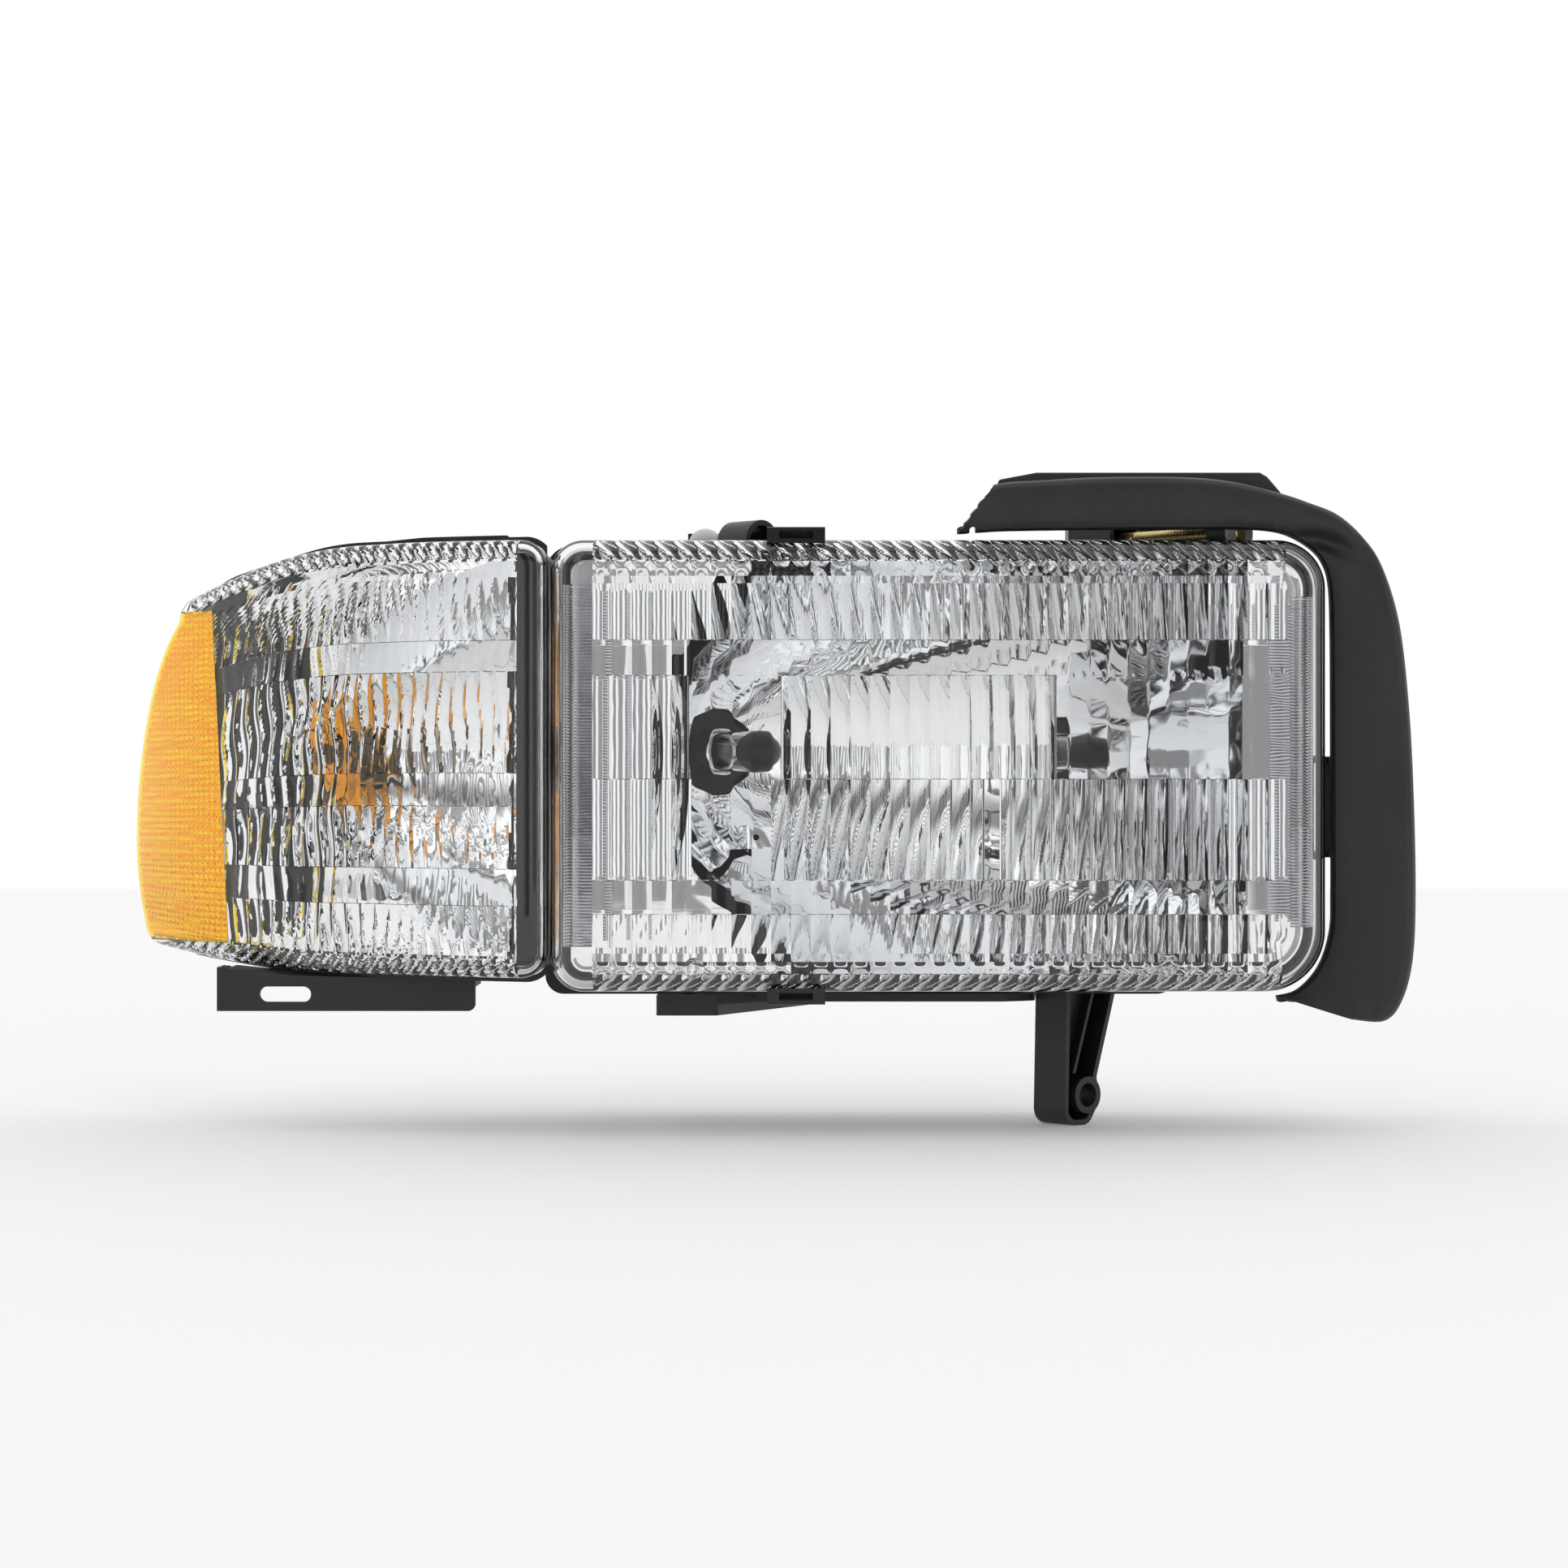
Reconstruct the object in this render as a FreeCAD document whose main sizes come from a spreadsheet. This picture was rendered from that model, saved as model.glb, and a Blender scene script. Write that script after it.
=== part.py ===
import FreeCAD
import Part
import math
import os

# Front corner lighting assembly of a pickup: an aimable headlamp, a corner lamp that wraps
# round the wing, a filler seal and the moulded bracket that carries them.
#
# Lengths are millimetres. X runs to the right seen from in front, Z is up and -Y points out
# of the headlamp's lens face. Every piece is first laid out from a datum on the lens face,
# then moved so that the bore of the bracket's lower arm, where it bolts to the vehicle, is
# the origin. The vehicle's forward direction is turned from the lens normal by beam_yaw,
# because the lens face is raked round the corner of the car.

Vector = FreeCAD.Vector
Rotation = FreeCAD.Rotation
Placement = FreeCAD.Placement
UP = Vector(0, 0, 1)
BACK = Vector(0, 1, 0)

DIMENSIONS = [
    ("beam_yaw", 42.0),
    ("boss_x", 122.0), ("boss_y", 70.0), ("boss_z", -131.0),
    ("lens_left", -95.0), ("lens_right", 220.4), ("lens_bottom", -84.6), ("lens_top", 99.4),
    ("lens_depth", 21.0), ("lens_wall", 3.0), ("lens_roll", 12.5),
    ("corner_left", 13.5), ("corner_high", 20.0), ("corner_low", 25.0),
    ("sealant_depth", 2.5), ("flange_depth", 3.5),
    ("focal_length", 26.0), ("vertex_x", -31.4), ("vertex_y", 122.3), ("vertex_z", 14.0),
    ("bulb_hole", 19.0), ("boss_wall", 5.0), ("bulb_plug", 18.9), ("bulb_flange", 23.0),
    ("base_shank", 16.0), ("glass_outer", 8.8), ("glass_wall", 1.1), ("glass_stem", 6.9),
    ("glass_reach", 32.0), ("collar_outer", 10.2), ("running_gap", 0.05),
    ("pivot_x", -33.0), ("pivot_y", 58.0), ("pivot_z", 100.0), ("pivot_ball", 5.2),
    ("pivot_shell", 7.2), ("stud_neck", 2.8),
    ("adjuster_x", 189.5), ("adjuster_y", 40.0), ("adjuster_z", 104.0),
    ("screw_radius", 3.5), ("screw_ball", 4.3),
    ("tilt_x", -75.0), ("tilt_z", -62.0),
    ("panel_front", 118.0), ("panel_wall", 4.0), ("rim_depth", 12.0), ("rim_wall", 3.0),
    ("arm_bore", 5.0), ("arm_boss", 7.8), ("arm_boss_depth", 18.0),
    ("wrap_radius", 228.7), ("wrap_x", -85.0), ("wrap_y", 230.4), ("wrap_end", 122.0),
    ("corner_wall", 2.8), ("corner_depth", 24.0),
    ("turn_x", -170.0), ("turn_y", 95.0), ("turn_z", 12.0), ("turn_glass", 12.7),
    ("dish_x", -187.0), ("dish_y", 76.5),
    ("marker_x", -238.5), ("marker_y", 108.5), ("marker_z", -12.0), ("marker_glass", 5.0),
    ("seal_front", 14.0), ("seal_depth", 44.0), ("seal_wall", 3.0),
    ("pin_radius", 2.5), ("pin_hole", 2.55), ("slot_radius", 3.2),
]

doc = FreeCAD.newDocument("headlamp_assembly")
sheet = doc.addObject("Spreadsheet::Sheet", "Sizes")
for row, (alias, value) in enumerate(DIMENSIONS, start=1):
    sheet.set(f"A{row}", alias)
    sheet.set(f"B{row}", str(value))
    sheet.setAlias(f"B{row}", alias)
doc.recompute()
size = {alias: float(sheet.get(alias)) for alias, value in DIMENSIONS}

YAW = math.radians(size["beam_yaw"])
FORWARD = Vector(math.sin(YAW), -math.cos(YAW), 0)
SIDEWAYS = Vector(math.cos(YAW), math.sin(YAW), 0)
VERTEX = Vector(size["vertex_x"], size["vertex_y"], size["vertex_z"])
PIVOT = Vector(size["pivot_x"], size["pivot_y"], size["pivot_z"])
BOSS = Vector(size["boss_x"], size["boss_y"], size["boss_z"])
nodes = []


# ---------------------------------------------------------------- drawing helpers

def bind(item, formulas):
    """Bind properties of a document object to formulas over the spreadsheet."""
    for prop, formula in formulas.items():
        item.setExpression(prop, formula)
    return item


def rounded_path(corners):
    """Lines and tangent arcs of a closed outline given as (x, y, radius) corners."""
    stations = []
    for index, (x, y, radius) in enumerate(corners):
        here = Vector(x, y, 0)
        before = Vector(*corners[index - 1][:2], 0)
        after = Vector(*corners[(index + 1) % len(corners)][:2], 0)
        if not radius:
            stations.append((here, None, here))
            continue
        back = (before - here).normalize()
        ahead = (after - here).normalize()
        half = back.getAngle(ahead) / 2
        reach = radius / math.tan(half)
        inward = (back + ahead).normalize()
        middle = here + inward * (radius / math.sin(half) - radius)
        stations.append((here + back * reach, middle, here + ahead * reach))
    path = []
    for index, (start, middle, end) in enumerate(stations):
        following = stations[(index + 1) % len(stations)][0]
        if middle is not None:
            path.append(Part.Arc(start, middle, end))
        if (following - end).Length > 1e-4:
            path.append(Part.LineSegment(end, following))
    return path


def inset(corners, distance):
    """The outline moved inwards by distance, for corners given counter-clockwise."""
    moved = []
    for index, (x, y, radius) in enumerate(corners):
        here = Vector(x, y, 0)
        into = (here - Vector(*corners[index - 1][:2], 0)).normalize()
        out = (Vector(*corners[(index + 1) % len(corners)][:2], 0) - here).normalize()
        bisector = (UP.cross(into) + UP.cross(out)).normalize()
        scale = distance / bisector.dot(UP.cross(out))
        corner = here + bisector * scale
        convex = into.cross(out).z > 0
        moved.append((corner.x, corner.y, max(radius - distance if convex else radius, 0)))
    return moved


def sketched_body(name, plane, corners):
    """A PartDesign body holding one sketch of the outline on one of its origin planes."""
    body = doc.addObject("PartDesign::Body", name)
    sketch = body.newObject("Sketcher::SketchObject", name + "_sketch")
    support = [item for item in body.Origin.OriginFeatures if item.Role == plane][0]
    sketch.AttachmentSupport = [(support, "")]
    sketch.MapMode = "FlatFace"
    sketch.addGeometry(rounded_path(corners), False)
    return body, sketch


def slab(name, corners, front, depth, plane="XZ_Plane", frame=None):
    """An outline pulled backwards (XZ) or upwards (XY) from front by the depth formula.

    With a frame, the outline is drawn in that frame and front is a plain number.
    """
    body, sketch = sketched_body(name, plane, corners)
    pad = body.newObject("PartDesign::Pad", name + "_pad")
    pad.Profile = sketch
    pad.Reversed = plane == "XZ_Plane"
    bind(pad, {"Length": depth})
    if frame is not None:
        body.Placement = frame.multiply(Placement(BACK * front, Rotation()))
        return body
    axis = "y" if plane == "XZ_Plane" else "z"
    return bind(body, {f"Placement.Base.{axis}": str(front)})


def turned(name, corners, centre, axis):
    """A piece turned about axis from (radius, distance along axis, rounding) corners."""
    body, sketch = sketched_body(name, "XZ_Plane", corners)
    spin = body.newObject("PartDesign::Revolution", name + "_turn")
    spin.Profile = sketch
    spin.ReferenceAxis = (sketch, ["V_Axis"])
    spin.Angle = 360
    body.Placement = Placement(centre, Rotation(UP, axis))
    return body


def box(name, low, high):
    """A plain block between two opposite corners."""
    block = doc.addObject("Part::Box", name)
    block.Length = high[0] - low[0]
    block.Width = high[1] - low[1]
    block.Height = high[2] - low[2]
    block.Placement = Placement(Vector(*low), Rotation())
    return block


def rod(name, start, axis, radius, height):
    """A cylinder from start along axis, its radius and height given as formulas."""
    cylinder = doc.addObject("Part::Cylinder", name)
    cylinder.Placement = Placement(start, Rotation(UP, axis))
    return bind(cylinder, {"Radius": radius, "Height": height})


def ball(name, centre, radius):
    sphere = doc.addObject("Part::Sphere", name)
    sphere.Placement = Placement(centre, Rotation())
    return bind(sphere, {"Radius": radius})


def cut(name, base, *tools):
    result = base
    for index, tool in enumerate(tools):
        last = index == len(tools) - 1
        step = doc.addObject("Part::Cut", name if last else f"{name}_step{index}")
        step.Base = result
        step.Tool = tool
        result = step
    return result


def fuse(name, *pieces):
    result = doc.addObject("Part::MultiFuse", name)
    result.Shapes = list(pieces)
    result.Refine = True
    return result


def common(name, *pieces):
    result = doc.addObject("Part::MultiCommon", name)
    result.Shapes = list(pieces)
    return result


def group(name, *pieces):
    """Identical pieces kept as separate solids of one node."""
    result = doc.addObject("Part::Compound", name)
    result.Links = list(pieces)
    return result


def node(item, label):
    """Name a finished sub-part and move it from the layout datum to the boss origin."""
    item.Label = label
    item.Placement = Placement(-BOSS, Rotation()).multiply(item.Placement)
    nodes.append(item)


def lens_outline(gap):
    """The headlamp's rounded outline, moved inwards by gap."""
    outline = [(size["lens_left"], size["lens_bottom"], size["corner_left"]),
               (size["lens_right"], size["lens_bottom"], size["corner_low"]),
               (size["lens_right"], size["lens_top"], size["corner_high"]),
               (size["lens_left"], size["lens_top"], size["corner_left"])]
    return inset(outline, gap)


def lens_block(name, gap, front, depth, roll=None):
    """A slab with the headlamp's outline and, if asked, a rolled front edge."""
    body = slab(name, lens_outline(gap), front, depth)
    if roll:
        pad = body.Tip
        doc.recompute()
        edges = [f"Edge{number}" for number, edge in enumerate(pad.Shape.Edges, start=1)
                 if edge.BoundBox.YLength < 1e-6 and abs(edge.BoundBox.YMin) < 1e-6]
        fillet = body.newObject("PartDesign::Fillet", name + "_roll")
        fillet.Base = (pad, edges)
        bind(fillet, {"Radius": roll})
    return body


def paraboloid(name, focal, setback):
    """The solid inside a paraboloid about the beam axis, its vertex moved back by setback.

    No primitive or sketch tool makes a true paraboloid solid, so it is turned from an arc of
    a parabola.
    """
    reach = 190.0
    curve = Part.Parabola()
    curve.Focal = focal
    arc = Part.ArcOfParabola(curve, 0, reach).toBSpline().toShape()
    rim = arc.Vertexes[1].Point
    foot = Vector(rim.x, 0, 0)
    wire = Part.Wire([arc, Part.makeLine(rim, foot), Part.makeLine(foot, Vector())])
    solid = Part.Face(wire).revolve(Vector(), Vector(1, 0, 0), 360)
    feature = doc.addObject("Part::Feature", name)
    feature.Shape = solid
    turn = Rotation(Vector(1, 0, 0), FORWARD)
    feature.Placement = Placement(VERTEX - FORWARD * setback, turn)
    return feature


def along_beam(distance, sideways=0.0, height=0.0):
    """A point from the reflector's vertex along, across and above the beam axis."""
    return VERTEX + FORWARD * distance + SIDEWAYS * sideways + UP * height


def beam_box(name, start, end, width, height):
    """A block along the beam axis between two distances, width across it."""
    block = doc.addObject("Part::Box", name)
    block.Length = end - start
    block.Width = width
    block.Height = height
    turn = Rotation(Vector(1, 0, 0), FORWARD)
    block.Placement = Placement(along_beam(start, -width / 2, -height / 2), turn)
    return block


def turned_on_beam(name, corners):
    return turned(name, corners, VERTEX, FORWARD)


# ---------------------------------------------------------------- headlamp: lens and clips

AIMING_NUBS = [(65.9, 84.6), (-36.4, -74.5), (155.5, -72.8)]


def make_headlamp_lens():
    """The moulded lens with the three pads that an aiming gauge rests on."""
    outer = lens_block("lens_outer", 0, 0, "Sizes.lens_depth", "Sizes.lens_roll")
    inner = lens_block("lens_inner", size["lens_wall"], "Sizes.lens_wall",
                       "Sizes.lens_depth", "Sizes.lens_roll - Sizes.lens_wall")
    nubs = [rod(f"aiming_nub_{index}", Vector(x, 1.0, z), -BACK, "4.2", "3.9")
            for index, (x, z) in enumerate(AIMING_NUBS)]
    node(fuse("lens_shape", cut("lens_shell", outer, inner), *nubs), "headlamp_lens")


def make_lens_sealant():
    outer = lens_block("bead_outer", 0.4, "Sizes.lens_depth", "Sizes.sealant_depth")
    inner = lens_block("bead_inner", 4.6, "Sizes.lens_depth - 1", "Sizes.sealant_depth + 2")
    node(cut("bead", outer, inner), "lens_sealant")


def make_lens_clip(label, side):
    """A spring clip that hooks the lens's rolled edge to the housing's flange."""
    edge = size["lens_top"] if side > 0 else -size["lens_bottom"]
    left, right = -6.9, 16.7
    profile = [(4.0, edge + 4.9, 1.2), (4.0, edge - 1.7, 0), (5.5, edge - 1.7, 0),
               (5.5, edge + 3.3, 0), (29.2, edge + 3.3, 0), (29.2, edge - 4.0, 0),
               (30.6, edge - 4.0, 0), (30.6, edge + 4.9, 1.2)]
    body, sketch = sketched_body(label + "_strip", "YZ_Plane",
                                 [(y, side * z, r) for y, z, r in profile])
    pad = body.newObject("PartDesign::Pad", label + "_pad")
    pad.Profile = sketch
    pad.Length = right - left
    body.Placement = Placement(Vector(left, 0, 0), Rotation())
    window = box(label + "_window", (left + 5, 3.0, side * (edge + 1.6) - 1.5),
                 (right - 5, 8.0, side * (edge + 1.6) + 1.5))
    relief = box(label + "_relief", (left + 6, 11.0, side * (edge + 4.1) - 3),
                 (right - 6, 23.0, side * (edge + 4.1) + 3))
    node(cut(label + "_shape", body, window, relief), label)


# ---------------------------------------------------------------- headlamp: bowl and housing

SIDE_WALL = 104.0
BEYOND = 300.0


def bulb_side(name, reach):
    """The space on the bulb's side of an upright plane along the beam."""
    block = beam_box(name, -30, 330, 2 * BEYOND, 300)
    block.Placement.Base = block.Placement.Base + SIDEWAYS * (reach - BEYOND)
    return block


def make_reflector_and_housing():
    """A metallised bowl with one flat side wall, in a moulded housing with room for it."""
    flange_front = size["lens_depth"] + size["sealant_depth"]
    shelf = flange_front + 9.5
    layers = {}
    steps = [("void", 8.0, size["focal_length"], 0.0, SIDE_WALL),
             ("bowl", 6.8, size["focal_length"] + 0.4, 1.2, SIDE_WALL + 1.2),
             ("room", 6.8, size["focal_length"] + 0.4, 1.2, BEYOND),
             ("shell", 4.8, size["focal_length"] + 1.2, 3.4, BEYOND)]
    for name, gap, focal, thickness, reach in steps:
        prism = lens_block(name + "_prism", gap, str(flange_front), "130")
        step = lens_block(name + "_step", gap - 1, str(flange_front - 1),
                          str(shelf + thickness - flange_front + 1))
        curve = paraboloid(name + "_curve", focal, thickness)
        dish = common(name + "_dish", curve, bulb_side(name + "_side", reach))
        layers[name] = common(name + "_solid", prism, fuse(name + "_inside", step, dish))
    hole = rod("reflector_hole", along_beam(-30), FORWARD, "Sizes.bulb_hole", "60")
    node(cut("bowl_shape", layers["bowl"], layers["void"], hole), "reflector_bowl")

    flange = lens_block("flange_outer", 0, str(flange_front), "Sizes.flange_depth")
    seat = rod("bulb_seat", along_beam(-8), FORWARD, "Sizes.bulb_hole + Sizes.boss_wall", "12")
    pivot_ear, pivot_room = make_pivot_ear()
    nut_ear, nut_room = make_nut_ear()
    tilt_ear = box("tilt_ear", (size["tilt_x"] - 9, shelf + 2, size["tilt_z"] - 9),
                   (size["tilt_x"] + 9, shelf + 17, size["tilt_z"] + 9))
    tilt_bore = rod("tilt_bore", Vector(size["tilt_x"], shelf + 4, size["tilt_z"]), BACK, "7", "20")
    vent_spout = rod("vent_spout", along_beam(30, 30, 44), -FORWARD, "5", "44")
    vent_bore = rod("vent_bore", along_beam(34, 30, 44), -FORWARD, "2.4", "60")
    blank = fuse("housing_blank", layers["shell"], flange, seat, *pivot_ear, *nut_ear,
                 tilt_ear, vent_spout)
    node(cut("housing_shape", blank, layers["room"], hole, *pivot_room, *nut_room, tilt_bore,
             vent_bore), "headlamp_housing")


def make_pivot_ear():
    """The socket pocket over the pivot ball, with a half-round hood open to the front."""
    block = box("pivot_block", (size["pivot_x"] - 7.0, 34.0, 85.0),
                (size["pivot_x"] + 7.0, size["pivot_y"] + 4, size["pivot_z"] + 1))
    cap = ball("pivot_cap", PIVOT, "Sizes.pivot_shell + 3")
    hood = rod("pivot_hood", PIVOT + FORWARD * 18.0, FORWARD, "Sizes.pivot_shell + 1.8", "18")
    mouth = rod("pivot_mouth", PIVOT + FORWARD * 8.0, FORWARD, "Sizes.pivot_shell - 0.4", "40")
    seat = ball("pivot_seat", PIVOT, "Sizes.pivot_shell + Sizes.running_gap")
    stud_way = rod("stud_way", PIVOT, BACK, "Sizes.pivot_shell - 0.6", "20")
    foot = box("hood_foot", (size["pivot_x"] + 2, 34.0, 85.0), (-9.0, 48.0, 97.0))
    open_top = box("pivot_open_top", (-46.0, 44.0, 101.5), (-25.0, 80.0, 115.0))
    return [block, foot, hood, cap], [mouth, seat, stud_way, open_top]


def adjuster_point(distance):
    """A point of the lateral adjuster's axis, behind its drive end by distance."""
    tip = Vector(size["adjuster_x"], size["adjuster_y"], size["adjuster_z"])
    return tip - FORWARD * distance


def make_nut_ear():
    """The ear on top of the housing that holds the lateral adjuster's nut."""
    centre = adjuster_point(6)
    eye = rod("nut_eye", adjuster_point(12), FORWARD, "8.4", "10")
    post = box("nut_post", (centre.x - 9, centre.y - 4, 88.0), (centre.x + 9, centre.y + 8, 100.0))
    pocket = rod("nut_pocket", adjuster_point(14), FORWARD, "6.4", "14")
    flange_room = rod("nut_flange_room", adjuster_point(2), FORWARD, "8.2", "8")
    return [eye, post], [pocket, flange_room]


# ---------------------------------------------------------------- aiming gear

def make_pivot():
    """A ball stud fixed in the bracket's top arm and the nylon socket that grips it."""
    stud_root = 86.0
    stud_corners = [(0, 0, 0), (4.4, 0, 0), (size["stud_neck"], 6, 0),
                    (size["stud_neck"], stud_root - size["pivot_y"] - 2.5, 0),
                    (6.0, stud_root - size["pivot_y"] - 2.5, 0),
                    (6.0, stud_root - size["pivot_y"], 0), (3.0, stud_root - size["pivot_y"], 0),
                    (3.0, stud_root - size["pivot_y"] + 14, 0.6),
                    (0, stud_root - size["pivot_y"] + 14, 0)]
    stem = turned("stud_stem", stud_corners, PIVOT, BACK)
    knob = ball("stud_ball", PIVOT, "Sizes.pivot_ball")
    node(fuse("stud_shape", knob, stem), "pivot_ball_stud")

    outer = ball("socket_outer", PIVOT, "Sizes.pivot_shell")
    seat = ball("socket_seat", PIVOT, "Sizes.pivot_ball + Sizes.running_gap")
    mouth = rod("socket_mouth", PIVOT, BACK, "Sizes.stud_neck + 1.9", "12")
    node(cut("socket_shape", outer, seat, mouth), "pivot_socket")


def screw_outline(length, drive_end):
    """Half outline of an aiming screw: ball, shank, thread and a drive end."""
    radius = size["screw_radius"]
    knob = size["screw_ball"]
    return [(0, knob, 0), (2.4, knob * 0.85, 0), (2.4, knob + 4, 0), (radius, knob + 6, 0),
            (radius, length - drive_end, 0), (radius - 0.6, length - drive_end + 1, 0),
            (radius - 0.6, length, 0.6), (0, length, 0)]


def make_adjuster(prefix, root, axis, length, nut_radius, flange_start):
    """An aiming screw from its ball end at root along axis, and the flanged nut at its drive."""
    stem = turned(prefix + "_stem", screw_outline(length, 9.0), root, axis)
    knob = ball(prefix + "_knob", root, "Sizes.screw_ball")
    node(fuse(prefix + "_screw_shape", knob, stem), prefix + "_adjuster_screw")
    inner = size["screw_radius"] + size["running_gap"]
    sleeve = turned(prefix + "_nut_sleeve", [(inner, 0, 0), (nut_radius, 0, 0),
                                             (nut_radius, 12.0, 0), (inner, 12.0, 0)],
                    root + axis * (length - 12.0), axis)
    flange = turned(prefix + "_nut_flange", [
        (inner, 0, 0), (nut_radius + 1.6, 0, 0.4), (nut_radius + 1.6, 2.0, 0.4), (inner, 2.0, 0)],
        root + axis * (length - 12.0 + flange_start), axis)
    node(fuse(prefix + "_nut_shape", sleeve, flange), prefix + "_adjuster_nut")


def make_aiming_gear():
    make_pivot()
    reach = 76.0
    make_adjuster("lateral", adjuster_point(reach), FORWARD, reach, 6.4, 10.0)
    root = Vector(size["tilt_x"], 112.0, size["tilt_z"])
    make_adjuster("vertical", root, -BACK, 72.0, 7.0, 0.0)


# ---------------------------------------------------------------- headlamp bulb

def make_headlamp_bulb():
    """A dual-filament bulb on the beam axis, held in the bowl by a bayonet ring."""
    plug, flange, shank = size["bulb_plug"], size["bulb_flange"], size["base_shank"]
    groove = 15.4
    body = turned_on_beam("base_turned", [
        (0, 2, 0), (0, -30, 0), (shank, -30, 1), (shank, -12, 0), (flange, -12, 0.6),
        (flange, -8, 0), (plug, -8, 0), (plug, -4.8, 0), (groove, -4.8, 0), (groove, -1.2, 0),
        (plug, -1.2, 0), (plug, 2, 0.6)])
    shroud = beam_box("base_shroud", -52, -28, 21.0, 27.0)
    cavity = beam_box("base_cavity", -53, -35, 16.0, 22.0)
    bore = turned_on_beam("base_bore", [(0, -2, 0), (8.05, -2, 0), (8.05, 3, 0), (0, 3, 0)])
    node(cut("base_shape", fuse("base_blank", body, shroud), cavity, bore), "bulb_base")

    ring = doc.addObject("Part::Torus", "bulb_ring_torus")
    ring.Placement = Placement(along_beam(-3), Rotation(UP, FORWARD))
    bind(ring, {"Radius1": "Sizes.bulb_plug - 1.75", "Radius2": "1.74"})
    node(ring, "bulb_o_ring")

    stem = size["glass_stem"]
    collar = turned_on_beam("collar_turned", [
        (stem + 0.05, -2, 0), (8.0, -2, 0), (8.0, 2, 0), (size["collar_outer"], 2, 0),
        (size["collar_outer"], 7, 0.8), (stem + 0.05, 7, 0)])
    node(collar, "bulb_collar")

    outer, wall, reach = size["glass_outer"], size["glass_wall"], size["glass_reach"]
    skin = turned_on_beam("glass_skin", [(0, -1, 0), (stem, -1, 0), (stem, 7, 0), (outer, 9.5, 0),
                                         (outer, reach, 0), (0, reach, 0)])
    dome = ball("glass_dome", along_beam(reach), "Sizes.glass_outer")
    core = turned_on_beam("glass_core", [(0, 4, 0), (stem - wall, 4, 0), (stem - wall, 7.5, 0),
                                         (outer - wall, 10, 0), (outer - wall, reach, 0),
                                         (0, reach, 0)])
    hollow = ball("glass_hollow", along_beam(reach), "Sizes.glass_outer - Sizes.glass_wall")
    node(cut("glass_shape", fuse("glass_full", skin, dome), core, hollow), "bulb_glass")

    coils = [rod(f"coil_{index}", along_beam(start, side, height), FORWARD, "0.75", "5.2")
             for index, (start, side, height) in enumerate([(23.4, 0, 0.3), (26.5, -2.6, 3.0)])]
    leads = [rod(f"lead_{index}", along_beam(4.2, side, height), FORWARD, "0.35", length)
             for index, (side, height, length) in enumerate([(3.0, -2.4, "24"), (-3.4, 3.2, "28")])]
    node(group("filament_group", *coils, *leads), "bulb_filaments")

    blades = [beam_box(f"blade_{index}", -48, -35.0, 6.3 if index else 0.8, 0.8 if index else 6.3)
              for index in range(3)]
    for blade, (side, height) in zip(blades, [(-5.2, 0), (2.2, 6.0), (2.2, -6.0)]):
        blade.Placement.Base = blade.Placement.Base + SIDEWAYS * side + UP * height
    node(group("blade_group", *blades), "bulb_terminals")

    seat = size["bulb_hole"] + size["boss_wall"]
    cup = turned_on_beam("ring_cup", [
        (shank + 0.08, -16, 0), (seat + 3.6, -16, 1.2), (seat + 3.6, -1.5, 0.8),
        (seat + 0.08, -1.5, 0), (seat + 0.08, -12.1, 0), (shank + 0.08, -12.1, 0)])
    ribs = []
    for index in range(6):
        rib = beam_box(f"ring_rib_{index}", -14.5, -3, 5.0, 2.6)
        turn = Rotation(FORWARD, 60 * index + 30)
        lift = turn.multVec(UP * (seat + 4.2))
        rib.Placement = Placement(lift, Rotation()).multiply(
            Placement(VERTEX, turn).multiply(Placement(-VERTEX, Rotation())).multiply(rib.Placement))
        ribs.append(rib)
    node(fuse("ring_shape", cup, *ribs), "bulb_retaining_ring")


def make_vent_elbow():
    """A rubber breather elbow pushed over the spout on the housing's back."""
    start = along_beam(-18, 30, 44)
    sleeve = rod("vent_sleeve", start, FORWARD, "7", "14")
    drop = rod("vent_drop", start + FORWARD * 3.5 + UP * 3, -UP, "4.6", "22")
    spout = rod("vent_socket", along_beam(-14, 30, 44), FORWARD, "5", "30")
    passage = rod("vent_passage", start + FORWARD * 3.5, -UP, "2.4", "30")
    node(cut("vent_shape", fuse("vent_blank", sleeve, drop), spout, passage), "vent_elbow")


# ---------------------------------------------------------------- corner lamp

CORNER_OUTLINE = [(-268.0, -70.5, 22), (-200.0, -77.5, 90), (-96.8, -79.2, 9),
                  (-96.8, 99.4, 9), (-188.0, 98.0, 110), (-243.0, 84.5, 36),
                  (-274.5, 50.0, 50), (-284.4, -25.0, 60)]


def wrap(name, setback):
    """The solid behind the corner lamp's curved face, moved inwards by setback."""
    cylinder = doc.addObject("Part::Cylinder", name)
    cylinder.Placement = Placement(Vector(size["wrap_x"], size["wrap_y"], -130), Rotation())
    return bind(cylinder, {"Radius": f"Sizes.wrap_radius - {setback}", "Height": "260"})


def corner_prism(name, gap, front=-10.0, depth="Sizes.wrap_end + 10"):
    return slab(name, inset(CORNER_OUTLINE, gap), front, depth)


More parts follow.
